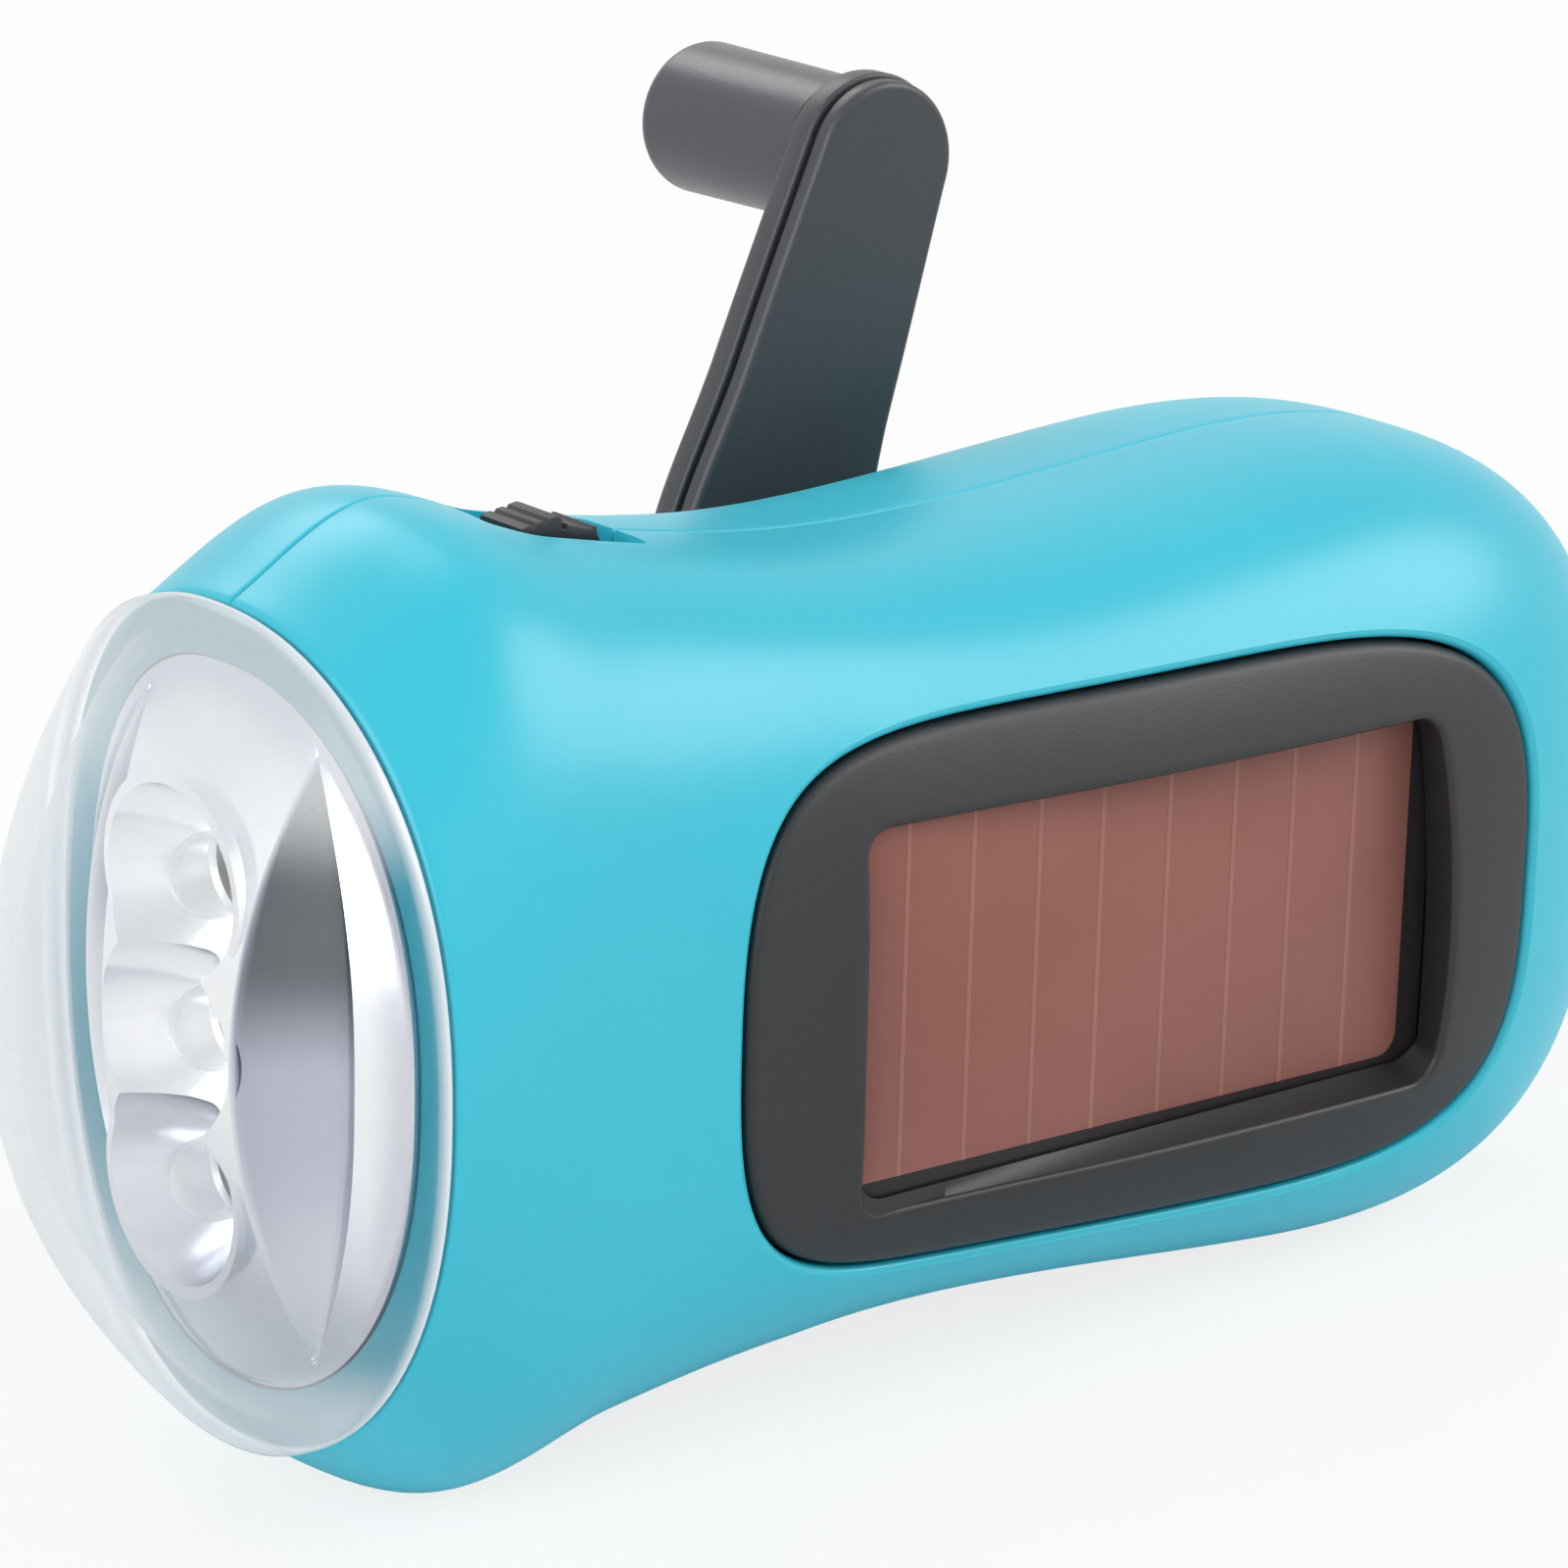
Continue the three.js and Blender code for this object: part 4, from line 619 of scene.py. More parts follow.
def switch_cut():
    """Tools for the slider's recess and for the slot that its stem runs in."""
    recess = slope_box(SWITCH_RECESS_LENGTH, SWITCH_RECESS_WIDTH, -SWITCH_RECESS_DEPTH, CUT_OVERRUN)
    slot_x = SWITCH_REST_X - SWITCH_TRAVEL / 2
    slot = slope_box(SWITCH_SLOT_LENGTH, SWITCH_SLOT_WIDTH, -CUT_OVERRUN, CUT_OVERRUN, slot_x)
    return [mesh_of("switch_recess_tool", *recess, SWITCH), mesh_of("switch_slot_tool", *slot, SWITCH)]


def front_face_painted_shade(x, y, z):
    """1 on the flat front face of the wall, which lies in the lens's shade: painted shade darkens the colour
    there.
    """
    out = front_share(y, z) ** (1 / HEAD_SECTION_POWER)
    return (out > 0.8) & (x * out ** 2 < sweep_at(y, z) + 0.05)


def build_panel_side(material):
    shell = flattened(mesh_of("panel_side_housing", *shell_half(-1)))
    seat_floor = -(GRIP_HALF_DEPTH - BEZEL_DEPTH) + SEAT_OVERRUN
    seat = edged_hole("bezel_seat_tool", bezel_outline(SEAM_GAP), seat_floor, -1, SEAT_EDGE_ROUND)
    combined(shell, [seat] + switch_cut())
    # The lining attribute marks the front face of the wall, which gets painted shade
    toned(shell, "lining", front_face_painted_shade)
    placed(shell, "root", material, ["panel_side_shell"])


def build_crank_side(material):
    shell = flattened(mesh_of("crank_side_housing", *shell_half(1)))
    bosses, holes = [], []

    def add_well(x, z, radius, floor_y, wall, edge_round, count):
        """A round boss inside the side, and the hole that makes a well of it."""
        bosses.append(mesh_of("well_boss", *boss(circle(x, z, radius + wall, count), floor_y - wall, 1)))
        holes.append(edged_hole("well_tool", circle(x, z, radius, count), floor_y, 1, edge_round))

    add_well(CRANK_X, 0, HUB_RADIUS + RUNNING_GAP, RECESS_FLOOR_Y, WALL, RECESS_EDGE_ROUND, 96)
    add_well(POCKET_X, 0, POCKET_RADIUS, POCKET_FLOOR_Y, BOSS_WALL, POCKET_EDGE_ROUND, 64)
    for x, z in SCREW_PLACES:
        add_well(x, z, SCREW_WELL_RADIUS, SCREW_SEAT_Y, BOSS_WALL, WELL_EDGE_ROUND, 40)
        bore = circle(x, z, SCREW_BORE_RADIUS, 24)
        ends = (SCREW_SEAT_Y - SCREW_BORE_DEPTH, SIDE_Y)
        holes.append(mesh_of("bore_tool", *skinned([at_depth(bore, y) for y in ends])))
    combined(shell, bosses, "UNION")
    combined(shell, holes + switch_cut())
    # The lining attribute marks the front face of the wall, which gets painted shade
    toned(shell, "lining", front_face_painted_shade)
    placed(shell, "root", material, ["crank_side_shell"])


# Front end
LENS_QUARTER_POINTS = 32


def lens_ring(inset, share, x):
    """A ring that follows the front section, scaled by a share and swept back from an X."""
    depth, height = (FRONT_HALF_DEPTH - inset) * share, (FRONT_HALF_HEIGHT - inset) * share
    y_share, z_share = half_shares(depth, height, HEAD_SECTION_POWER, LENS_QUARTER_POINTS)
    y = np.concatenate([y_share, -y_share[-2:0:-1]]) * depth
    z = np.concatenate([z_share, z_share[-2:0:-1]]) * height
    return np.stack([x + sweep_at(y, z), y, z], -1)


def build_lens(material):
    edge_x = -LENS_SEAT_GAP
    outer_top = edge_x - LENS_RIM_HEIGHT - LENS_DOME_HEIGHT
    inner_top = outer_top + LENS_THICKNESS
    shares = np.append(np.linspace(0, 1, 29)[1:-1], [0.99, 1])
    rings = [lens_ring(0, s, outer_top + LENS_DOME_HEIGHT * s ** 2) for s in shares]
    rings += [lens_ring(inset, 1, edge_x - drop) for inset, drop in fillet(LENS_EDGE_ROUND, 4)]
    rings += [lens_ring(LENS_THICKNESS, s, inner_top + (edge_x - inner_top) * s ** 2) for s in shares[::-1]]
    lens = mesh_of("front_lens_clear", *skinned(rings))
    toned(lens, "haze_and_highlight", lens_haze_and_highlight)
    placed(lens, "root", material, ["front_lens"], angle=50)


def lens_haze_and_highlight(x, y, z):
    """How milky the lens is drawn: full on its straight rim; towards its top a painted highlight, and towards
    its bottom it is drawn whiter, each to about half.
    """
    low = -LENS_RIM_HEIGHT - LENS_SEAT_GAP
    rim = eased(x - sweep_at(y, z), low - 0.02, low + 0.14) * eased(front_share(y, z), 0.955, 0.985)
    return np.maximum(rim, TOP_PAINTED_HIGHLIGHT * eased(z, *TOP_PAINTED_HIGHLIGHT_RISE) + BOTTOM_WHITENING * eased(-z, *BOTTOM_WHITENING_RISE))


REFLECTOR_HALF_DEPTH = FRONT_HALF_DEPTH - REFLECTOR_INSET
REFLECTOR_HALF_HEIGHT = FRONT_HALF_HEIGHT - REFLECTOR_INSET


def hollow_reach(z):
    """How far a height lies from the middle towards the hollow's ends."""
    return np.clip(np.abs(z) / HOLLOW_HALF_HEIGHT, 0, 1)


def hollow_rims(z):
    """Y of the crease beside the cups and of the hollow's outer ridge."""
    crease = HOLLOW_CREASE_Y + HOLLOW_CREASE_BOW * hollow_reach(z) ** 2
    return crease, np.maximum(HOLLOW_RIDGE_Y - HOLLOW_RIDGE_BOW * hollow_reach(z) ** 2.2, crease + 0.3)


def across_hollow(y, z):
    """0 at the hollow's crease and 1 at its ridge."""
    crease, ridge = hollow_rims(z)
    return (np.abs(y) - crease) / (ridge - crease)


def hollow_share(y, z):
    """0 outside the hollow, rising to 1 at its bottom: steep towards the cups, soft outside."""
    across = np.clip(across_hollow(y, z), 0, 1)
    # The factor brings the curve's peak to 1
    return 3.8 * across ** 0.85 * (1 - across) ** 1.1 * (1 - hollow_reach(z) ** 2)


def reflector_face(y, z):
    """X of the reflector's face: a low dome with a hollow scooped out on each side of the cups."""
    share = np.minimum(np.hypot(y / REFLECTOR_HALF_DEPTH, z / REFLECTOR_HALF_HEIGHT), 1)
    dome = REFLECTOR_SETBACK - REFLECTOR_DOME_HEIGHT * (1 - share ** 2)
    return dome + HOLLOW_DEPTH * hollow_share(y, z)


def painted_reflector_shade(x, y, z):
    """How dark the face is painted, as painted shade: in the hollows, most where their upper ends turn
    towards the dark inside of the head, and towards the face's bottom and its outer edge.
    """
    hollow = eased(hollow_share(y, z), 0, 0.1) * (1 - 0.75 * eased(across_hollow(y, z), 0.7, 1))
    hollow = hollow * (0.42 + 0.58 * eased(z, -1, 6)) * (1 - 0.35 * eased(-z, 4, 16))
    out = np.hypot(y / REFLECTOR_HALF_DEPTH, z / REFLECTOR_HALF_HEIGHT)
    return np.maximum(hollow, np.maximum(0.27 * eased(-z, 3, 14), 0.25 * eased(out, 0.86, 0.98)))


def cup_profile(clearance):
    """Radius and X pairs of a cup's bowl, from its base to its mouth."""
    share = np.linspace(0, 1, 15)
    spread = (CUP_MOUTH_RADIUS - CUP_BASE_RADIUS) * np.sin(share * math.pi / 3) / math.sin(math.pi / 3)
    return CUP_BASE_RADIUS + clearance + spread, CUP_MOUTH_X + CUP_DEPTH * (1 - share)


def turned_along_x(radii, places, z, count=72, width_share=1):
    """A turned solid about an axis along X at a height, drawn out sideways by a share."""
    angle = np.linspace(0, 2 * math.pi, count, endpoint=False)
    across, up = width_share * np.cos(angle), np.sin(angle)
    return skinned([np.stack([np.full(count, x), r * across, z + r * up], -1) for r, x in zip(radii, places)])


FACE_ROWS = 150
MIDDLE_COLUMNS = 16
HOLLOW_COLUMNS = 26
EDGE_COLUMNS = 12


def reflector_solid():
    """Face, rim and back of the reflector. The face's columns follow the rims of its hollows."""
    rows = []
    for z_share in np.cos(np.linspace(0, math.pi, FACE_ROWS + 1)):
        height_part = min(abs(z_share), 1) ** HEAD_SECTION_POWER
        reach = REFLECTOR_HALF_DEPTH * (1 - height_part) ** (1 / HEAD_SECTION_POWER)
        z = REFLECTOR_HALF_HEIGHT * z_share
        crease, ridge = np.minimum(hollow_rims(z), (0.8 * reach, 0.9 * reach))
        half = np.concatenate([
            crease * np.linspace(0, 1, MIDDLE_COLUMNS, endpoint=False),
            crease + (ridge - crease) * np.linspace(0, 1, HOLLOW_COLUMNS, endpoint=False) ** 1.4,
            ridge + (reach - ridge) * np.linspace(0, 1, EDGE_COLUMNS + 1),
        ])
        y = np.concatenate([-half[:0:-1], half])
        rows.append(np.stack([y, np.full(len(y), z)], -1))
    rows = np.array(rows)
    y, z = rows[..., 0], rows[..., 1]
    inner = 1 - REFLECTOR_THICKNESS / REFLECTOR_HALF_DEPTH

    def layer(y, z, x, share=1):
        return np.stack([x + sweep_at(y, z), share * y, share * z], -1)

    face = layer(y, z, reflector_face(y, z))
    back = layer(y, z, reflector_face(y, z) + REFLECTOR_THICKNESS, inner)
    count, width = y.shape
    at = np.arange(count * width).reshape(count, width)
    loop = np.concatenate([at[:, -1], at[::-1, 0]])
    rim_y, rim_z = y.reshape(-1)[loop], z.reshape(-1)[loop]
    end_x = REFLECTOR_SETBACK + REFLECTOR_FLANGE_DEPTH + 0 * rim_y
    rims = [layer(rim_y, rim_z, end_x), layer(rim_y, rim_z, end_x, inner)]
    vertices = np.concatenate([face.reshape(-1, 3), back.reshape(-1, 3)] + rims)
    quads = np.stack([at[:-1, :-1], at[:-1, 1:], at[1:, 1:], at[1:, :-1]], -1).reshape(-1, 4)
    faces = quads.tolist() + (quads[:, ::-1] + at.size).tolist()
    start = 2 * at.size
    strips = [loop, start + np.arange(len(loop)), start + len(loop) + np.arange(len(loop)), loop + at.size]
    for here, there in zip(strips, strips[1:]):
        faces += np.stack([here, np.roll(here, -1), np.roll(there, -1), there], -1).tolist()
    return vertices, faces


def build_reflector(material):
    """The mirror with its three cups, whose bowls run into each other and end in a bore for each lamp."""
    reflector = mesh_of("mirror_reflector", *reflector_solid())
    end = CUP_MOUTH_X + CUP_DEPTH
    floor = end - 0.3
    cup_radii, cup_places = [4, CUP_MOUTH_RADIUS + 0.7], [end + 0.3, CUP_MOUTH_X + 0.8]
    radii, places = cup_profile(0.15)
    bore = LAMP_RADIUS + LAMP_GAP
    radii = np.concatenate([[bore, bore], radii, [radii[-1] + 0.1]])
    places = np.concatenate([[end + CUT_OVERRUN, floor, floor], places[1:], [CUP_MOUTH_X - CUT_OVERRUN]])
    cups, bowls = [], []
    for z in CUP_HEIGHTS.values():
        cups.append(mesh_of("cup", *turned_along_x(cup_radii, cup_places, z, 72, 1.1)))
        bowls.append(mesh_of("bowl_tool", *turned_along_x(radii, places, z, 72, CUP_WIDTH_SHARE)))
    combined(reflector, cups, "UNION")
    combined(reflector, bowls)
    # Painted shade for the mirror's colour, kept on each point
    toned(reflector, "painted_reflector_shade", painted_reflector_shade)
    placed(reflector, "root", material, ["reflector"], angle=28)


def build_lamps(material):
    """Round lamps, each a flange, a cylinder and a dome of clear epoxy."""
    flange_x = LAMP_BASE_X - LAMP_FLANGE_THICKNESS
    dome_x = LAMP_BASE_X - LAMP_LENGTH + LAMP_RADIUS
    angle = np.linspace(0, 88, 10) * DEGREES
    flange = [LAMP_FLANGE_RADIUS, LAMP_FLANGE_RADIUS, LAMP_RADIUS]
    radii = np.concatenate([flange, LAMP_RADIUS * np.cos(angle)])
    places = np.concatenate([[LAMP_BASE_X, flange_x, flange_x], dome_x - LAMP_RADIUS * np.sin(angle)])
    for name, z in CUP_HEIGHTS.items():
        lamp = mesh_of(f"lamp_lens_{name}", *turned_along_x(radii, places, z, 40))
        placed(lamp, "root", material, [f"lamp_{name}"])


def build_lead_frames(metal):
    """The metal that shows in each lamp: a plate at its base and a post with a small bowl on top."""
    places = LAMP_BASE_X + np.array(LEAD_FRAME_PLACES)
    frames = [turned_along_x(LEAD_FRAME_RADII, places, z, 40) for z in CUP_HEIGHTS.values()]
    placed(merged("lamp_lead_frames", frames), "root", metal)


# Solar panel and its bezel
def window_outline(count=320):
    """The window's mouth: its upper edge rises to the rear, and its front and rear edges bow."""
    along, up = rounded_rectangle(WINDOW_LENGTH, WINDOW_HEIGHT, WINDOW_CORNER, 24, 60).T
    rear = np.clip(along / (WINDOW_LENGTH / 2), 0, None) ** 2
    front = np.clip(-along / (WINDOW_LENGTH / 2), 0, None) ** 2
    share = along / WINDOW_LENGTH + 0.5
    upper = np.clip(up / (WINDOW_HEIGHT / 2), -1, 1)
    rear_bow = WINDOW_REAR_BOW * ((up - WINDOW_REAR_BOW_Z) / WINDOW_REAR_BOW_HEIGHT) ** 2
    x = WINDOW_CENTRE_X + along + rear * (WINDOW_REAR_REACH - rear_bow)
    x += WINDOW_FRONT_LEAN * front * np.clip(-up / (WINDOW_HEIGHT / 2), 0, 1) ** 2
    at_front, at_rear = WINDOW_LOWER_DROPS
    bow = np.where(upper > 0, WINDOW_UPPER_RISE * share, at_front + (at_rear - at_front) * share)
    z = WINDOW_CENTRE_Z + up + bow * upper
    return np.stack(evenly_spaced(x, z, count, closed=True), -1)


def on_outline(outline, directions, centre):
    """Where rays from a centre meet a closed outline, by its polar angle."""
    angle = np.unwrap(np.arctan2(outline[:, 1] - centre[1], outline[:, 0] - centre[0]))
    angle = np.concatenate([angle - 2 * math.pi, angle, angle + 2 * math.pi])
    radius = np.tile(np.hypot(outline[:, 0] - centre[0], outline[:, 1] - centre[1]), 3)
    met = np.interp(directions, angle, radius)
    return np.stack([centre[0] + met * np.cos(directions), centre[1] + met * np.sin(directions)], -1)


def build_bezel(material):
    """A frame that follows the housing's side: rings from its outer edge over its face into the window."""
    centre = np.array([WINDOW_CENTRE_X, WINDOW_CENTRE_Z])
    mouth = window_outline()
    directions = np.unwrap(np.arctan2(mouth[:, 1] - centre[1], mouth[:, 0] - centre[0]))
    border = on_outline(bezel_outline(0, OUTLINE_STEPS), directions, centre)
    border_normal = outward(border)
    mouth_normal = outward(mouth)

    def surface(flat, depth):
        return at_depth(flat, depth - side_depth(*flat.T, -BEZEL_PROUD))

    inner_y = -(GRIP_HALF_DEPTH - BEZEL_DEPTH)
    floor_y = -(GRIP_HALF_DEPTH - PANEL_DEPTH_BELOW_SIDE) - PANEL_TO_BEZEL_GAP
    rings = [at_depth(border, inner_y)]
    rings += [surface(border - border_normal * inset, drop) for inset, drop in fillet(BEZEL_ROUND, 5)]
    outer_edge = border - border_normal * BEZEL_ROUND
    inner_edge = mouth + mouth_normal * WINDOW_LIP
    for share in np.linspace(0, 1, 14)[1:-1]:
        rings.append(surface(outer_edge * (1 - share) + inner_edge * share, 0))
    rings += [surface(mouth + mouth_normal * inset, drop) for inset, drop in fillet(WINDOW_LIP, 5)[::-1]]
    foot = mouth + mouth_normal * WINDOW_DRAFT
    foot[:, 1] += WINDOW_WALL_SLOPE * eased(WINDOW_CENTRE_Z - mouth[:, 1], *WINDOW_SLOPE_START)
    seat = rounded_rectangle(*PANEL_SEAT, PANEL_SEAT_CORNER, 8, 200) + centre
    seat = on_outline(seat, directions, centre)
    # Where the window's foot reaches past the seat for the panel, the seat follows the foot
    seat = np.where(np.abs(seat - centre) > np.abs(foot - centre), seat, foot)
    rings += [at_depth(foot, floor_y), at_depth(seat, floor_y), at_depth(seat, inner_y)]
    bezel = mesh_of("panel_frame", *skinned(rings, closed=True))
    placed(bezel, "root", material, ["panel_bezel"], angle=80)


def build_panel(film, line, glass):
    """The panel's glass, its film, and the lines between its cells, each a shade prouder than the last."""
    outer_y = -(GRIP_HALF_DEPTH - PANEL_DEPTH_BELOW_SIDE)
    low_x, high_x = WINDOW_FRONT_X - GLASS_MARGIN, WINDOW_FRONT_X + WINDOW_LENGTH + GLASS_MARGIN
    half = WINDOW_HEIGHT / 2 + GLASS_MARGIN
    low_z, high_z = WINDOW_CENTRE_Z - half, WINDOW_CENTRE_Z + half
    film_top = high_z - FILM_MARGIN

    def sheet(low, high, near, far, corner):
        """A thin plate between two corners in X and Z, and between two depths in the panel."""
        low, high = np.array(low), np.array(high)
        outline = rounded_rectangle(*(high - low), corner, 8, 2) + (low + high) / 2
        return plate(outline, outer_y + near, outer_y + far, 0.02, 0.02, 2)

    backing = mesh_of("panel_backing", *sheet((low_x, low_z), (high_x, high_z), 0.1, GLASS_THICKNESS, 0.4))
    placed(backing, "root", glass, ["solar_panel"])
    cells = sheet((low_x + FILM_MARGIN, FILM_LOW_Z), (FILM_REAR_X, film_top), 0.03, 0.12, FILM_CORNER)
    placed(mesh_of("solar_cells", *cells), "root", film)
    edge = CELL_LINE_WIDTH / 2
    joints = [sheet((x - edge, FILM_LOW_Z), (x + edge, film_top), 0, 0.08, 0.05) for x in CELL_LINES]
    placed(merged("cell_joints", joints), "root", line)


# Crank: drawn about the crank's axis with the arm along X
def arm_outline(inset, count=40):
    """The arm tapers from its shoulders at the hinge to the round end that holds the knob."""
    start_x = HINGE_OFFSET + ARM_START + inset
    shoulder_x = HINGE_OFFSET + ARM_SHOULDER
    middle_x = (shoulder_x + CRANK_THROW) / 2
    sides = curve_through([start_x, shoulder_x, middle_x, CRANK_THROW], ARM_HALF_WIDTHS)
    along = np.linspace(start_x, CRANK_THROW, count)[:-1]
    lower = np.stack([along, -(sides(along) - inset)], -1)
    angle = np.linspace(-90, 90, count) * DEGREES
    radius = ARM_END_RADIUS - inset
    end = np.stack([CRANK_THROW + radius * np.cos(angle), radius * np.sin(angle)], -1)
    upper = np.stack([along[::-1], sides(along[::-1]) - inset], -1)
    return np.concatenate([lower, end, upper])


def turned_along_y(name, radii, places, x, count):
    rings = [at_depth(circle(x, 0, r, count), y) for r, y in zip(radii, places)]
    return mesh_of(name, *skinned(rings), CRANK)


def hinge_round(name, radius, reach):
    """A pin, barrel or hole about the hinge's axis, from one side of the arm's middle to the other."""
    ends = fillet(0.2, 3)
    rows = [(radius - inset, drop - reach) for inset, drop in ends[::-1]]
    rows += [(radius - inset, reach - drop) for inset, drop in ends]
    rings = [at_height(circle(HINGE_OFFSET, ARM_MIDDLE_Y, r, 40), z) for r, z in rows]
    return mesh_of(name, *skinned(rings), CRANK)


def build_arm(black):
    """The arm with the neck and the barrel that turn on the hinge pin."""
    inner_y = ARM_INNER_Y + ARM_COVER_THICKNESS + ARM_COVER_GROOVE
    arm = mesh_of("crank_arm_body", *plate(arm_outline(0), inner_y, ARM_OUTER_Y, 0.25, 0.7), CRANK)
    neck_outline = rounded_rectangle(NECK_LENGTH, NECK_WIDTH, 0.4) + [HINGE_OFFSET + NECK_LENGTH / 2, 0]
    low_y, high_y = ARM_MIDDLE_Y - BARREL_RADIUS, ARM_MIDDLE_Y + BARREL_RADIUS
    neck = mesh_of("arm_neck", *plate(neck_outline, low_y, high_y, 0.3, 0.3), CRANK)
    combined(arm, [neck, hinge_round("arm_barrel", BARREL_RADIUS, NECK_WIDTH / 2)], "UNION")
    combined(arm, [hinge_round("arm_pin_hole", ARM_PIN_HOLE_RADIUS, PIN_OVERRUN)])
    placed(arm, "arm", black, ["crank_arm"])


def build_arm_cover(black):
    """The thin face on the arm's inner side, open round the hinge."""
    face = plate(arm_outline(ARM_COVER_INSET), ARM_INNER_Y, ARM_INNER_Y + ARM_COVER_THICKNESS, 0.5, 0.2)
    cover = mesh_of("crank_arm_face", *face, CRANK)
    room_outline = rounded_rectangle(*ARM_COVER_ROOM, 0.5) + [HINGE_OFFSET, 0]
    room = mesh_of("arm_face_room", *plate(room_outline, ARM_INNER_Y - 2, ARM_OUTER_Y, 0.1, 0.1), CRANK)
    combined(cover, [room])
    placed(cover, "arm", black, ["arm_cover"])


def build_knob(black):
    """A sleeve with a chamfered foot and a rounded end, which has a shallow round recess."""
    ends = fillet(KNOB_ROUND, 8)
    radii = [2.5, KNOB_RADIUS - KNOB_CHAMFER, KNOB_RADIUS]
    radii += [KNOB_FREE_RADIUS - inset for inset, _ in ends]
    radii += [KNOB_RECESS_RADIUS, KNOB_RECESS_RADIUS - KNOB_RECESS_DRAFT, 0.05]
    places = [KNOB_INNER_Y, KNOB_INNER_Y, KNOB_INNER_Y + KNOB_CHAMFER]
    recess_y = KNOB_OUTER_Y - KNOB_RECESS_DEPTH
    places += [KNOB_OUTER_Y - drop for _, drop in ends] + [KNOB_OUTER_Y, recess_y, recess_y]
    knob = turned_along_y("crank_knob_sleeve", radii, places, CRANK_THROW, 80)
    placed(knob, "knob", black, ["crank_knob"])


def build_hub(black):
    """A disc with a rounded rim and two hinge ears."""
    ends = fillet(HUB_ROUND, 4)
    radii = [HUB_RADIUS] + [HUB_RADIUS - inset for inset, _ in ends]
    places = [HUB_INNER_Y] + [HUB_OUTER_Y - drop for _, drop in ends]
    hub = turned_along_y("crank_hub_disc", radii, places, 0, 96)
    angle = np.linspace(0, 180, 24) * DEGREES
    arch = np.array([HINGE_OFFSET, ARM_MIDDLE_Y]) + EAR_RADIUS * np.stack([np.cos(angle), np.sin(angle)], -1)
    foot_y = HUB_INNER_Y + 0.6
    foot = [[HINGE_OFFSET - EAR_RADIUS, foot_y], [HINGE_OFFSET + EAR_RADIUS, foot_y]]
    outline = np.concatenate([arch, foot])
    ears = []
    for low in (PIN_HALF_LENGTH - EAR_THICKNESS, -PIN_HALF_LENGTH):
        rings = [at_height(outline, z) for z in (low, low + EAR_THICKNESS)]
        ears.append(mesh_of("hub_ear", *skinned(rings), CRANK))
    combined(hub, ears, "UNION")
    combined(hub, [hinge_round("hub_pin_hole", EAR_PIN_HOLE_RADIUS, PIN_OVERRUN)])
    placed(hub, "crank", black, ["crank_hub"])


def build_hinge_pin(metal):
    pin = hinge_round("hinge_pin_steel", PIN_RADIUS, PIN_HALF_LENGTH)
    placed(pin, "crank", metal, ["hinge_pin"])


# Switch: drawn on its slope, with X down the slope and Z out of the surface
# The slider's side: ribs that rise from its front end, a groove, a flat and a low ridge near its rear end
SLIDER_PROFILE = [
    (-3, 0.3), (-3, 0.85), (-2.85, 0.98), (-2.45, 1.15), (-2.33, 1.02), (-2.18, 1.05),
    (-2.05, 1.33), (-1.65, 1.5), (-1.53, 1.36), (-1.38, 1.4), (-1.25, 1.68), (-0.8, 1.9),
    (-0.55, 1.9), (-0.32, 1.7), (-0.22, 1.2), (0.02, 1.2), (0.12, 1.5), (1.85, 1.42),
    (1.97, 1.6), (2.22, 1.6), (2.32, 1.25), (2.9, 0.6), (3, 0.45), (3, 0.3),
]


def build_slider(material):
    outline = np.array(SLIDER_PROFILE)[::-1] + [SWITCH_REST_X, -SWITCH_RECESS_DEPTH]
    half = SLIDER_WIDTH / 2
    slider = mesh_of("switch_slider_cap", *plate(outline, -half, half, 0.12, 0.12, 3), SWITCH)
    placed(slider, "switch", material, ["switch_slider"], angle=24)


# Materials
def add_node(tree, kind, settings=(), links=()):
    """Adds a node, sets its values and links outputs into its inputs."""
    node = tree.nodes.new(kind)
    for name, value in dict(settings).items():
        if isinstance(name, int) or name in node.inputs:
            node.inputs[name].default_value = value
        else:
            setattr(node, name, value)
    for name, output in dict(links).items():
        tree.links.new(output, node.inputs[name])
    return node


def new_material(name, values):
    material = bpy.data.materials.new(name)
    material.use_nodes = True
    tree = material.node_tree
    shader = next(n for n in tree.nodes if n.type == "BSDF_PRINCIPLED")
    for label, value in values.items():
        shader.inputs[label].default_value = value
    return material, tree, shader


def grained(tree, shader, grain, height, colours=None, roughness=None, mottle=0.02):
    """Fine moulded grain in the surface, with slow changes of tone and gloss. Sizes in metres."""
    place = {"Vector": add_node(tree, "ShaderNodeTexCoord").outputs["Object"]}
    fine = add_node(tree, "ShaderNodeTexNoise", {"Scale": 1 / grain, "Detail": 3.0, "Roughness": 0.55}, place)
    slow = add_node(tree, "ShaderNodeTexNoise", {"Scale": 1 / mottle, "Detail": 4.0}, place)
    bump = add_node(tree, "ShaderNodeBump", {"Distance": height}, {"Height": fine.outputs["Fac"]})
    tree.links.new(bump.outputs["Normal"], shader.inputs["Normal"])
    if colours:
        ramp = add_node(tree, "ShaderNodeValToRGB", (), {"Fac": slow.outputs["Fac"]})
        for element, colour in zip(ramp.color_ramp.elements, colours):
            element.color = linear(colour)
        ramp.color_ramp.elements[0].position = 0.3
        ramp.color_ramp.elements[1].position = 0.7
        tree.links.new(ramp.outputs["Color"], shader.inputs["Base Color"])
    if roughness:
        limits = {"To Min": roughness[0], "To Max": roughness[1]}
        spread = add_node(tree, "ShaderNodeMapRange", limits, {"Value": slow.outputs["Fac"]})
        tree.links.new(spread.outputs["Result"], shader.inputs["Roughness"])


def grained_material(name, values, *grain_sizes_and_tones):
    material, tree, shader = new_material(name, values)
    grained(tree, shader, *grain_sizes_and_tones)
    return material


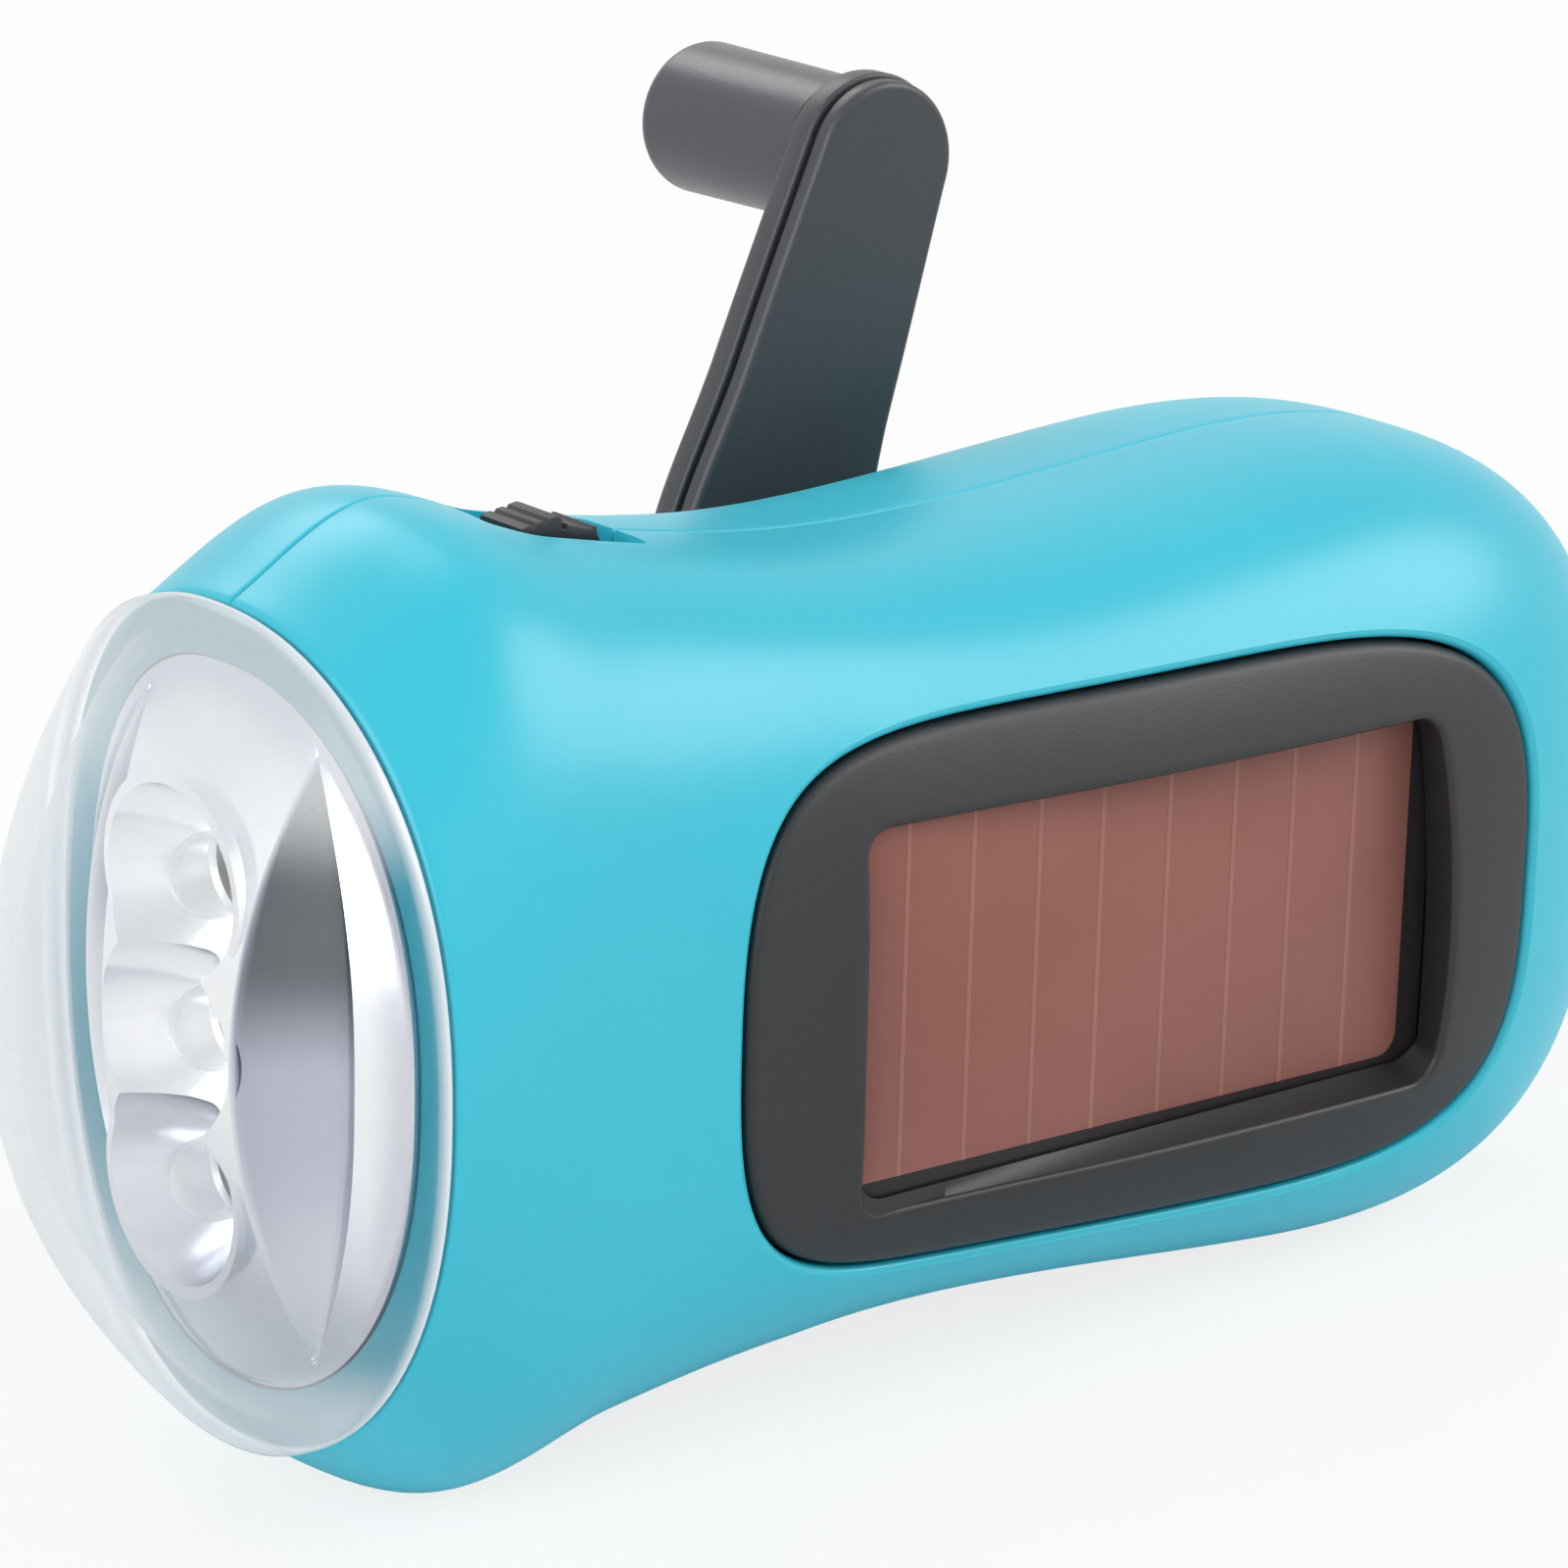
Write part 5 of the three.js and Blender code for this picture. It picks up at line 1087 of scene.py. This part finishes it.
def turquoise_abs():
    """ABS, moulded in a finely spark-eroded tool: a satin skin that spreads highlights softly.

    The grain is drawn at 0.25 mm, coarser than the real one, so that it shows. The front face of the wall
    is painted a deeper blue as painted shade, since it lies in the lens's shade.
    """
    glow = {"Subsurface Weight": 0.12, "Subsurface Scale": 0.002, "Subsurface Radius": (0.4, 0.9, 1)}
    material, tree, shader = new_material("turquoise_moulded_abs", {"IOR": 1.53, **glow})
    grained(tree, shader, 0.25 * MM, 0.004 * MM, ("#2cbdd4", "#30c1d7"), (0.31, 0.37))
    shade = add_node(tree, "ShaderNodeAttribute", {"attribute_name": "lining"}).outputs["Fac"]
    body_colour = shader.inputs["Base Color"].links[0].from_socket
    # Painted shade: on the front face of the wall the colour is mixed towards a darker blue
    shaded = {"data_type": "RGBA", 7: linear("#0790a6")}
    mix = add_node(tree, "ShaderNodeMix", shaded, {0: shade, 6: body_colour})
    tree.links.new(mix.outputs[2], shader.inputs["Base Color"])
    return material


def clear_plastic(name, values, face_share, edge_share, falloff, whitening_attribute=None):
    """A clear body, milky by a share where it faces the eye and by another at its edges."""
    material, tree, shader = new_material(name, values)
    facing = add_node(tree, "ShaderNodeLayerWeight", {"Blend": 0.5}).outputs["Facing"]
    power = add_node(tree, "ShaderNodeMath", {"operation": "POWER", 1: falloff}, {0: facing}).outputs[0]
    shares = {"To Min": face_share, "To Max": edge_share}
    alpha = add_node(tree, "ShaderNodeMapRange", shares, {"Value": power}).outputs["Result"]
    # An attribute adds to the milkiness; on the lens it also holds a painted highlight towards the top
    if whitening_attribute:
        haze_and_highlight = add_node(tree, "ShaderNodeAttribute", {"attribute_name": whitening_attribute}).outputs["Fac"]
        share = add_node(tree, "ShaderNodeMath", {"operation": "MULTIPLY", 1: 0.8}, {0: haze_and_highlight}).outputs[0]
        alpha = add_node(tree, "ShaderNodeMath", {"operation": "MAXIMUM"}, {0: alpha, 1: share}).outputs[0]
    tree.links.new(alpha, shader.inputs["Alpha"])
    return material


def clear_polycarbonate():
    """Polycarbonate, moulded in a polished tool: clear where it faces the eye, milky along its rim, and
    whiter towards its top with a painted highlight.
    """
    values = {"IOR": 1.58, "Roughness": 0.2, "Base Color": linear("#f3f6f9")}
    return clear_plastic("clear_moulded_polycarbonate", values, 0, 0.85, 2, "haze_and_highlight")


def clear_epoxy():
    """Cast epoxy of a round lamp: clear and smooth."""
    values = {"IOR": 1.5, "Roughness": 0.08, "Base Color": linear("#f2f4f5")}
    return clear_plastic("clear_cast_epoxy", values, 0.12, 0.7, 1.5)


def mirror_metal():
    """Aluminium evaporated on moulded plastic: a bright mirror with slight ripple, darkened by painted shade
    in its hollows, towards its bottom and at its outer edge.
    """
    material, tree, shader = new_material("vacuum_metallised_plastic", {"Metallic": 0.9, "Roughness": 0.18})
    painted_shade = add_node(tree, "ShaderNodeAttribute", {"attribute_name": "painted_reflector_shade"}).outputs["Fac"]
    ramp = add_node(tree, "ShaderNodeValToRGB", (), {"Fac": painted_shade})
    # The ramp runs from the bright mirror through lilac grey to dark grey painted shade
    ramp.color_ramp.elements[0].color = linear("#f4f6f8")
    ramp.color_ramp.elements[1].color = linear("#6f7478")
    ramp.color_ramp.elements.new(0.42).color = linear("#bcbecc")
    tree.links.new(ramp.outputs["Color"], shader.inputs["Base Color"])
    place = add_node(tree, "ShaderNodeTexCoord").outputs["Object"]
    ripple = add_node(tree, "ShaderNodeTexNoise", {"Scale": 1 / (3 * MM), "Detail": 2.0}, {"Vector": place})
    bump = add_node(tree, "ShaderNodeBump", {"Distance": 0.03 * MM}, {"Height": ripple.outputs["Fac"]})
    tree.links.new(bump.outputs["Normal"], shader.inputs["Normal"])
    return material


# Each finish: its values, the width of its grain and the grain's height
# ABS with an eroded grain of some 0.1 mm, drawn wider so that it shows: dull grey highlights over a deep base
BLACK_ABS = ({"IOR": 1.53}, 0.24 * MM, 0.015 * MM)
# Amorphous silicon behind a clear face: dull red brown with a smooth gloss over it
SOLAR_FILM = ({"IOR": 1.5, "Specular IOR Level": 0.25}, 1.2 * MM, 0.001 * MM)
# Moulded or cast plastic of the inner parts, which shows little
INNER_PLASTIC = ({"IOR": 1.5}, 0.3 * MM, 0.004 * MM)


def plain_metal(name, colour, roughness, grain):
    """Turned or drawn metal with fine tool marks."""
    values = {"Metallic": 1, "Base Color": linear(colour)}
    return grained_material(name, values, grain, 0.003 * MM, None, roughness)


turquoise = turquoise_abs()
# The crank comes from a smoother tool than the bezel and is drawn a lighter grey; its knob is drawn lighter
# still, as painted light from above and behind
black = grained_material("black_grained_abs", *BLACK_ABS, ("#1b1c1f", "#1f2024"), (0.42, 0.5))
crank_black = grained_material("black_satin_abs", *BLACK_ABS, ("#333539", "#383a3e"), (0.36, 0.44))
# Painted light: the knob's lighter grey stands for light falling on it from above and behind
knob_black = grained_material("black_abs_painted_lighter", *BLACK_ABS, ("#3a3c43", "#3f4148"), (0.3, 0.36))
clear = clear_polycarbonate()
epoxy = clear_epoxy()
mirror = mirror_metal()
cell_film = grained_material("brown_silicon_film", *SOLAR_FILM, ("#8f5d53", "#95635a"), (0.34, 0.4), 0.012)
cell_line = grained_material("cell_joint_film", *SOLAR_FILM, ("#9a6b60", "#9e7065"), (0.34, 0.4), 0.012)
cell_glass = grained_material("dark_glass_margin", *SOLAR_FILM, ("#2c2829", "#302c2d"), (0.3, 0.36), 0.012)
lead_frame = plain_metal("silvered_lead_frame", "#e2e5e8", (0.3, 0.4), 0.1 * MM)
steel = plain_metal("drawn_steel", "#a9adb1", (0.28, 0.36), 0.2 * MM)
brass = plain_metal("turned_brass", "#b89a56", (0.25, 0.35), 0.2 * MM)
acetal = grained_material("natural_acetal", *INNER_PLASTIC, ("#e6e3d8", "#ece9df"), (0.4, 0.5))
board = grained_material("green_solder_mask", *INNER_PLASTIC, ("#2a6841", "#2f7048"), (0.35, 0.45))
sleeve = grained_material("heat_shrink_sleeve", *INNER_PLASTIC, ("#3a7648", "#418150"), (0.3, 0.4))
foam = grained_material("closed_cell_foam", *INNER_PLASTIC, ("#242424", "#2c2c2c"), (0.85, 0.95))

SLOT_MATERIALS = {
    "shell_turquoise": turquoise,
    "clear_lens": clear,
    "reflector_metal": mirror,
    "lamp_clear": epoxy,
    "black_plastic": black,
    "solar_cell": cell_film,
    "pad_foam": foam,
    "steel": steel,
    "brass": brass,
    "gear_plastic": acetal,
    "circuit_board": board,
    "battery_sleeve": sleeve,
}
for row in frame["record"]["subparts"]:
    cad_mesh = nodes[row["node"]].data
    cad_mesh.materials.clear()
    cad_mesh.materials.append(SLOT_MATERIALS[row["material_slot"]])

build_panel_side(turquoise)
build_crank_side(turquoise)
build_lens(clear)
build_reflector(mirror)
build_lamps(epoxy)
build_lead_frames(lead_frame)
build_bezel(black)
build_panel(cell_film, cell_line, cell_glass)
build_arm(crank_black)
build_arm_cover(crank_black)
build_knob(knob_black)
build_hub(crank_black)
build_hinge_pin(steel)
build_slider(black)


# Floor, lights and camera
FLOOR_REACH = 4.0
CAMERA_AZIMUTH = -37.97
CAMERA_ELEVATION = 16.64
CAMERA_ROLL = 1.555
CAMERA_DISTANCE = 347.2
CAMERA_TARGET = (40.02, 0, 7.79)
CAMERA_HALF_FIELD_SHARE = 0.1353


def added_to_scene(name, data):
    thing = bpy.data.objects.new(name, data)
    bpy.context.scene.collection.objects.link(thing)
    return thing


def direction(azimuth, elevation):
    """From the torch towards a compass direction and a height in degrees."""
    a, e = azimuth * DEGREES, elevation * DEGREES
    return Vector((math.sin(a) * math.cos(e), -math.cos(a) * math.cos(e), math.sin(e)))


def build_stage():
    """A pale floor. To the camera it also glows a little, so that it runs into the white background."""
    floor_mesh = bpy.data.meshes.new("floor")
    corners = [(x * FLOOR_REACH, y * FLOOR_REACH, 0) for x, y in ((-1, -1), (1, -1), (1, 1), (-1, 1))]
    floor_mesh.from_pydata(corners, [], [(0, 1, 2, 3)])
    values = {"Base Color": linear("#f6f6f6"), "Roughness": 0.9, "Specular IOR Level": 0.1}
    material, tree, shader = new_material("white_paper_floor", values)
    output = next(n for n in tree.nodes if n.type == "OUTPUT_MATERIAL")
    seen = add_node(tree, "ShaderNodeLightPath").outputs["Is Camera Ray"]
    glow = add_node(tree, "ShaderNodeEmission").outputs[0]
    share = add_node(tree, "ShaderNodeMath", {"operation": "MULTIPLY", 1: 0.8}, {0: seen}).outputs[0]
    mix = add_node(tree, "ShaderNodeMixShader", (), {0: share, 1: shader.outputs[0], 2: glow})
    tree.links.new(mix.outputs[0], output.inputs["Surface"])
    floor_mesh.materials.append(material)
    added_to_scene("floor", floor_mesh)


def seen_rays(tree):
    """1 for rays that see the background directly, in a mirror or through glass."""
    rays = add_node(tree, "ShaderNodeLightPath").outputs
    seen = rays["Is Camera Ray"]
    for other in ("Is Glossy Ray", "Is Transmission Ray"):
        either = {0: seen, 1: rays[other]}
        seen = add_node(tree, "ShaderNodeMath", {"operation": "MAXIMUM"}, either).outputs[0]
    return seen


def build_world():
    world = bpy.data.worlds.new("studio")
    bpy.context.scene.world = world
    world.use_nodes = True
    tree = world.node_tree
    background = next(n for n in tree.nodes if n.type == "BACKGROUND")
    background.inputs["Color"].default_value = linear("#ffffff")
    shares = {"To Min": 0.36, "To Max": 1.0}
    strength = add_node(tree, "ShaderNodeMapRange", shares, {"Value": seen_rays(tree)})
    tree.links.new(strength.outputs["Result"], background.inputs["Strength"])


def add_sun(name, azimuth, elevation, strength, spread):
    """A soft lamp from a compass direction in the torch's frame."""
    light = bpy.data.lights.new(name, "SUN")
    light.energy = strength
    light.angle = spread * DEGREES
    lamp = added_to_scene(name, light)
    lamp.rotation_euler = direction(azimuth, elevation).to_track_quat("Z", "Y").to_euler()


def build_camera():
    a, e, r = CAMERA_AZIMUTH * DEGREES, CAMERA_ELEVATION * DEGREES, CAMERA_ROLL * DEGREES
    back = direction(CAMERA_AZIMUTH, CAMERA_ELEVATION)
    level = Vector((math.cos(a), math.sin(a), 0))
    rise = Vector((-math.sin(e) * math.sin(a), math.sin(e) * math.cos(a), math.cos(e)))
    right = level * math.cos(r) + rise * math.sin(r)
    upward = rise * math.cos(r) - level * math.sin(r)
    camera = bpy.data.cameras.new("photo_view")
    camera.sensor_width = 36
    camera.lens = camera.sensor_width / 2 / CAMERA_HALF_FIELD_SHARE
    camera.clip_start = 0.01
    camera.clip_end = 20
    viewer = added_to_scene("photo_view", camera)
    turn = Matrix((right, upward, back)).transposed().to_4x4()
    spot = Matrix.Translation(Vector(CAMERA_TARGET) + back * CAMERA_DISTANCE)
    viewer.matrix_world = TORCH @ spot @ turn @ Matrix.Scale(1 / MM, 4)
    bpy.context.scene.camera = viewer


build_stage()
build_world()
add_sun("overhead_softbox", 150, 66, 0.3, 26)
add_sun("right_softbox", 54, 31, 1.45, 38)
add_sun("left_softbox", -75, 26, 1.6, 50)
add_sun("back_softbox", 170, 40, 0.5, 26)
build_camera()
bpy.context.scene.view_settings.view_transform = "Standard"
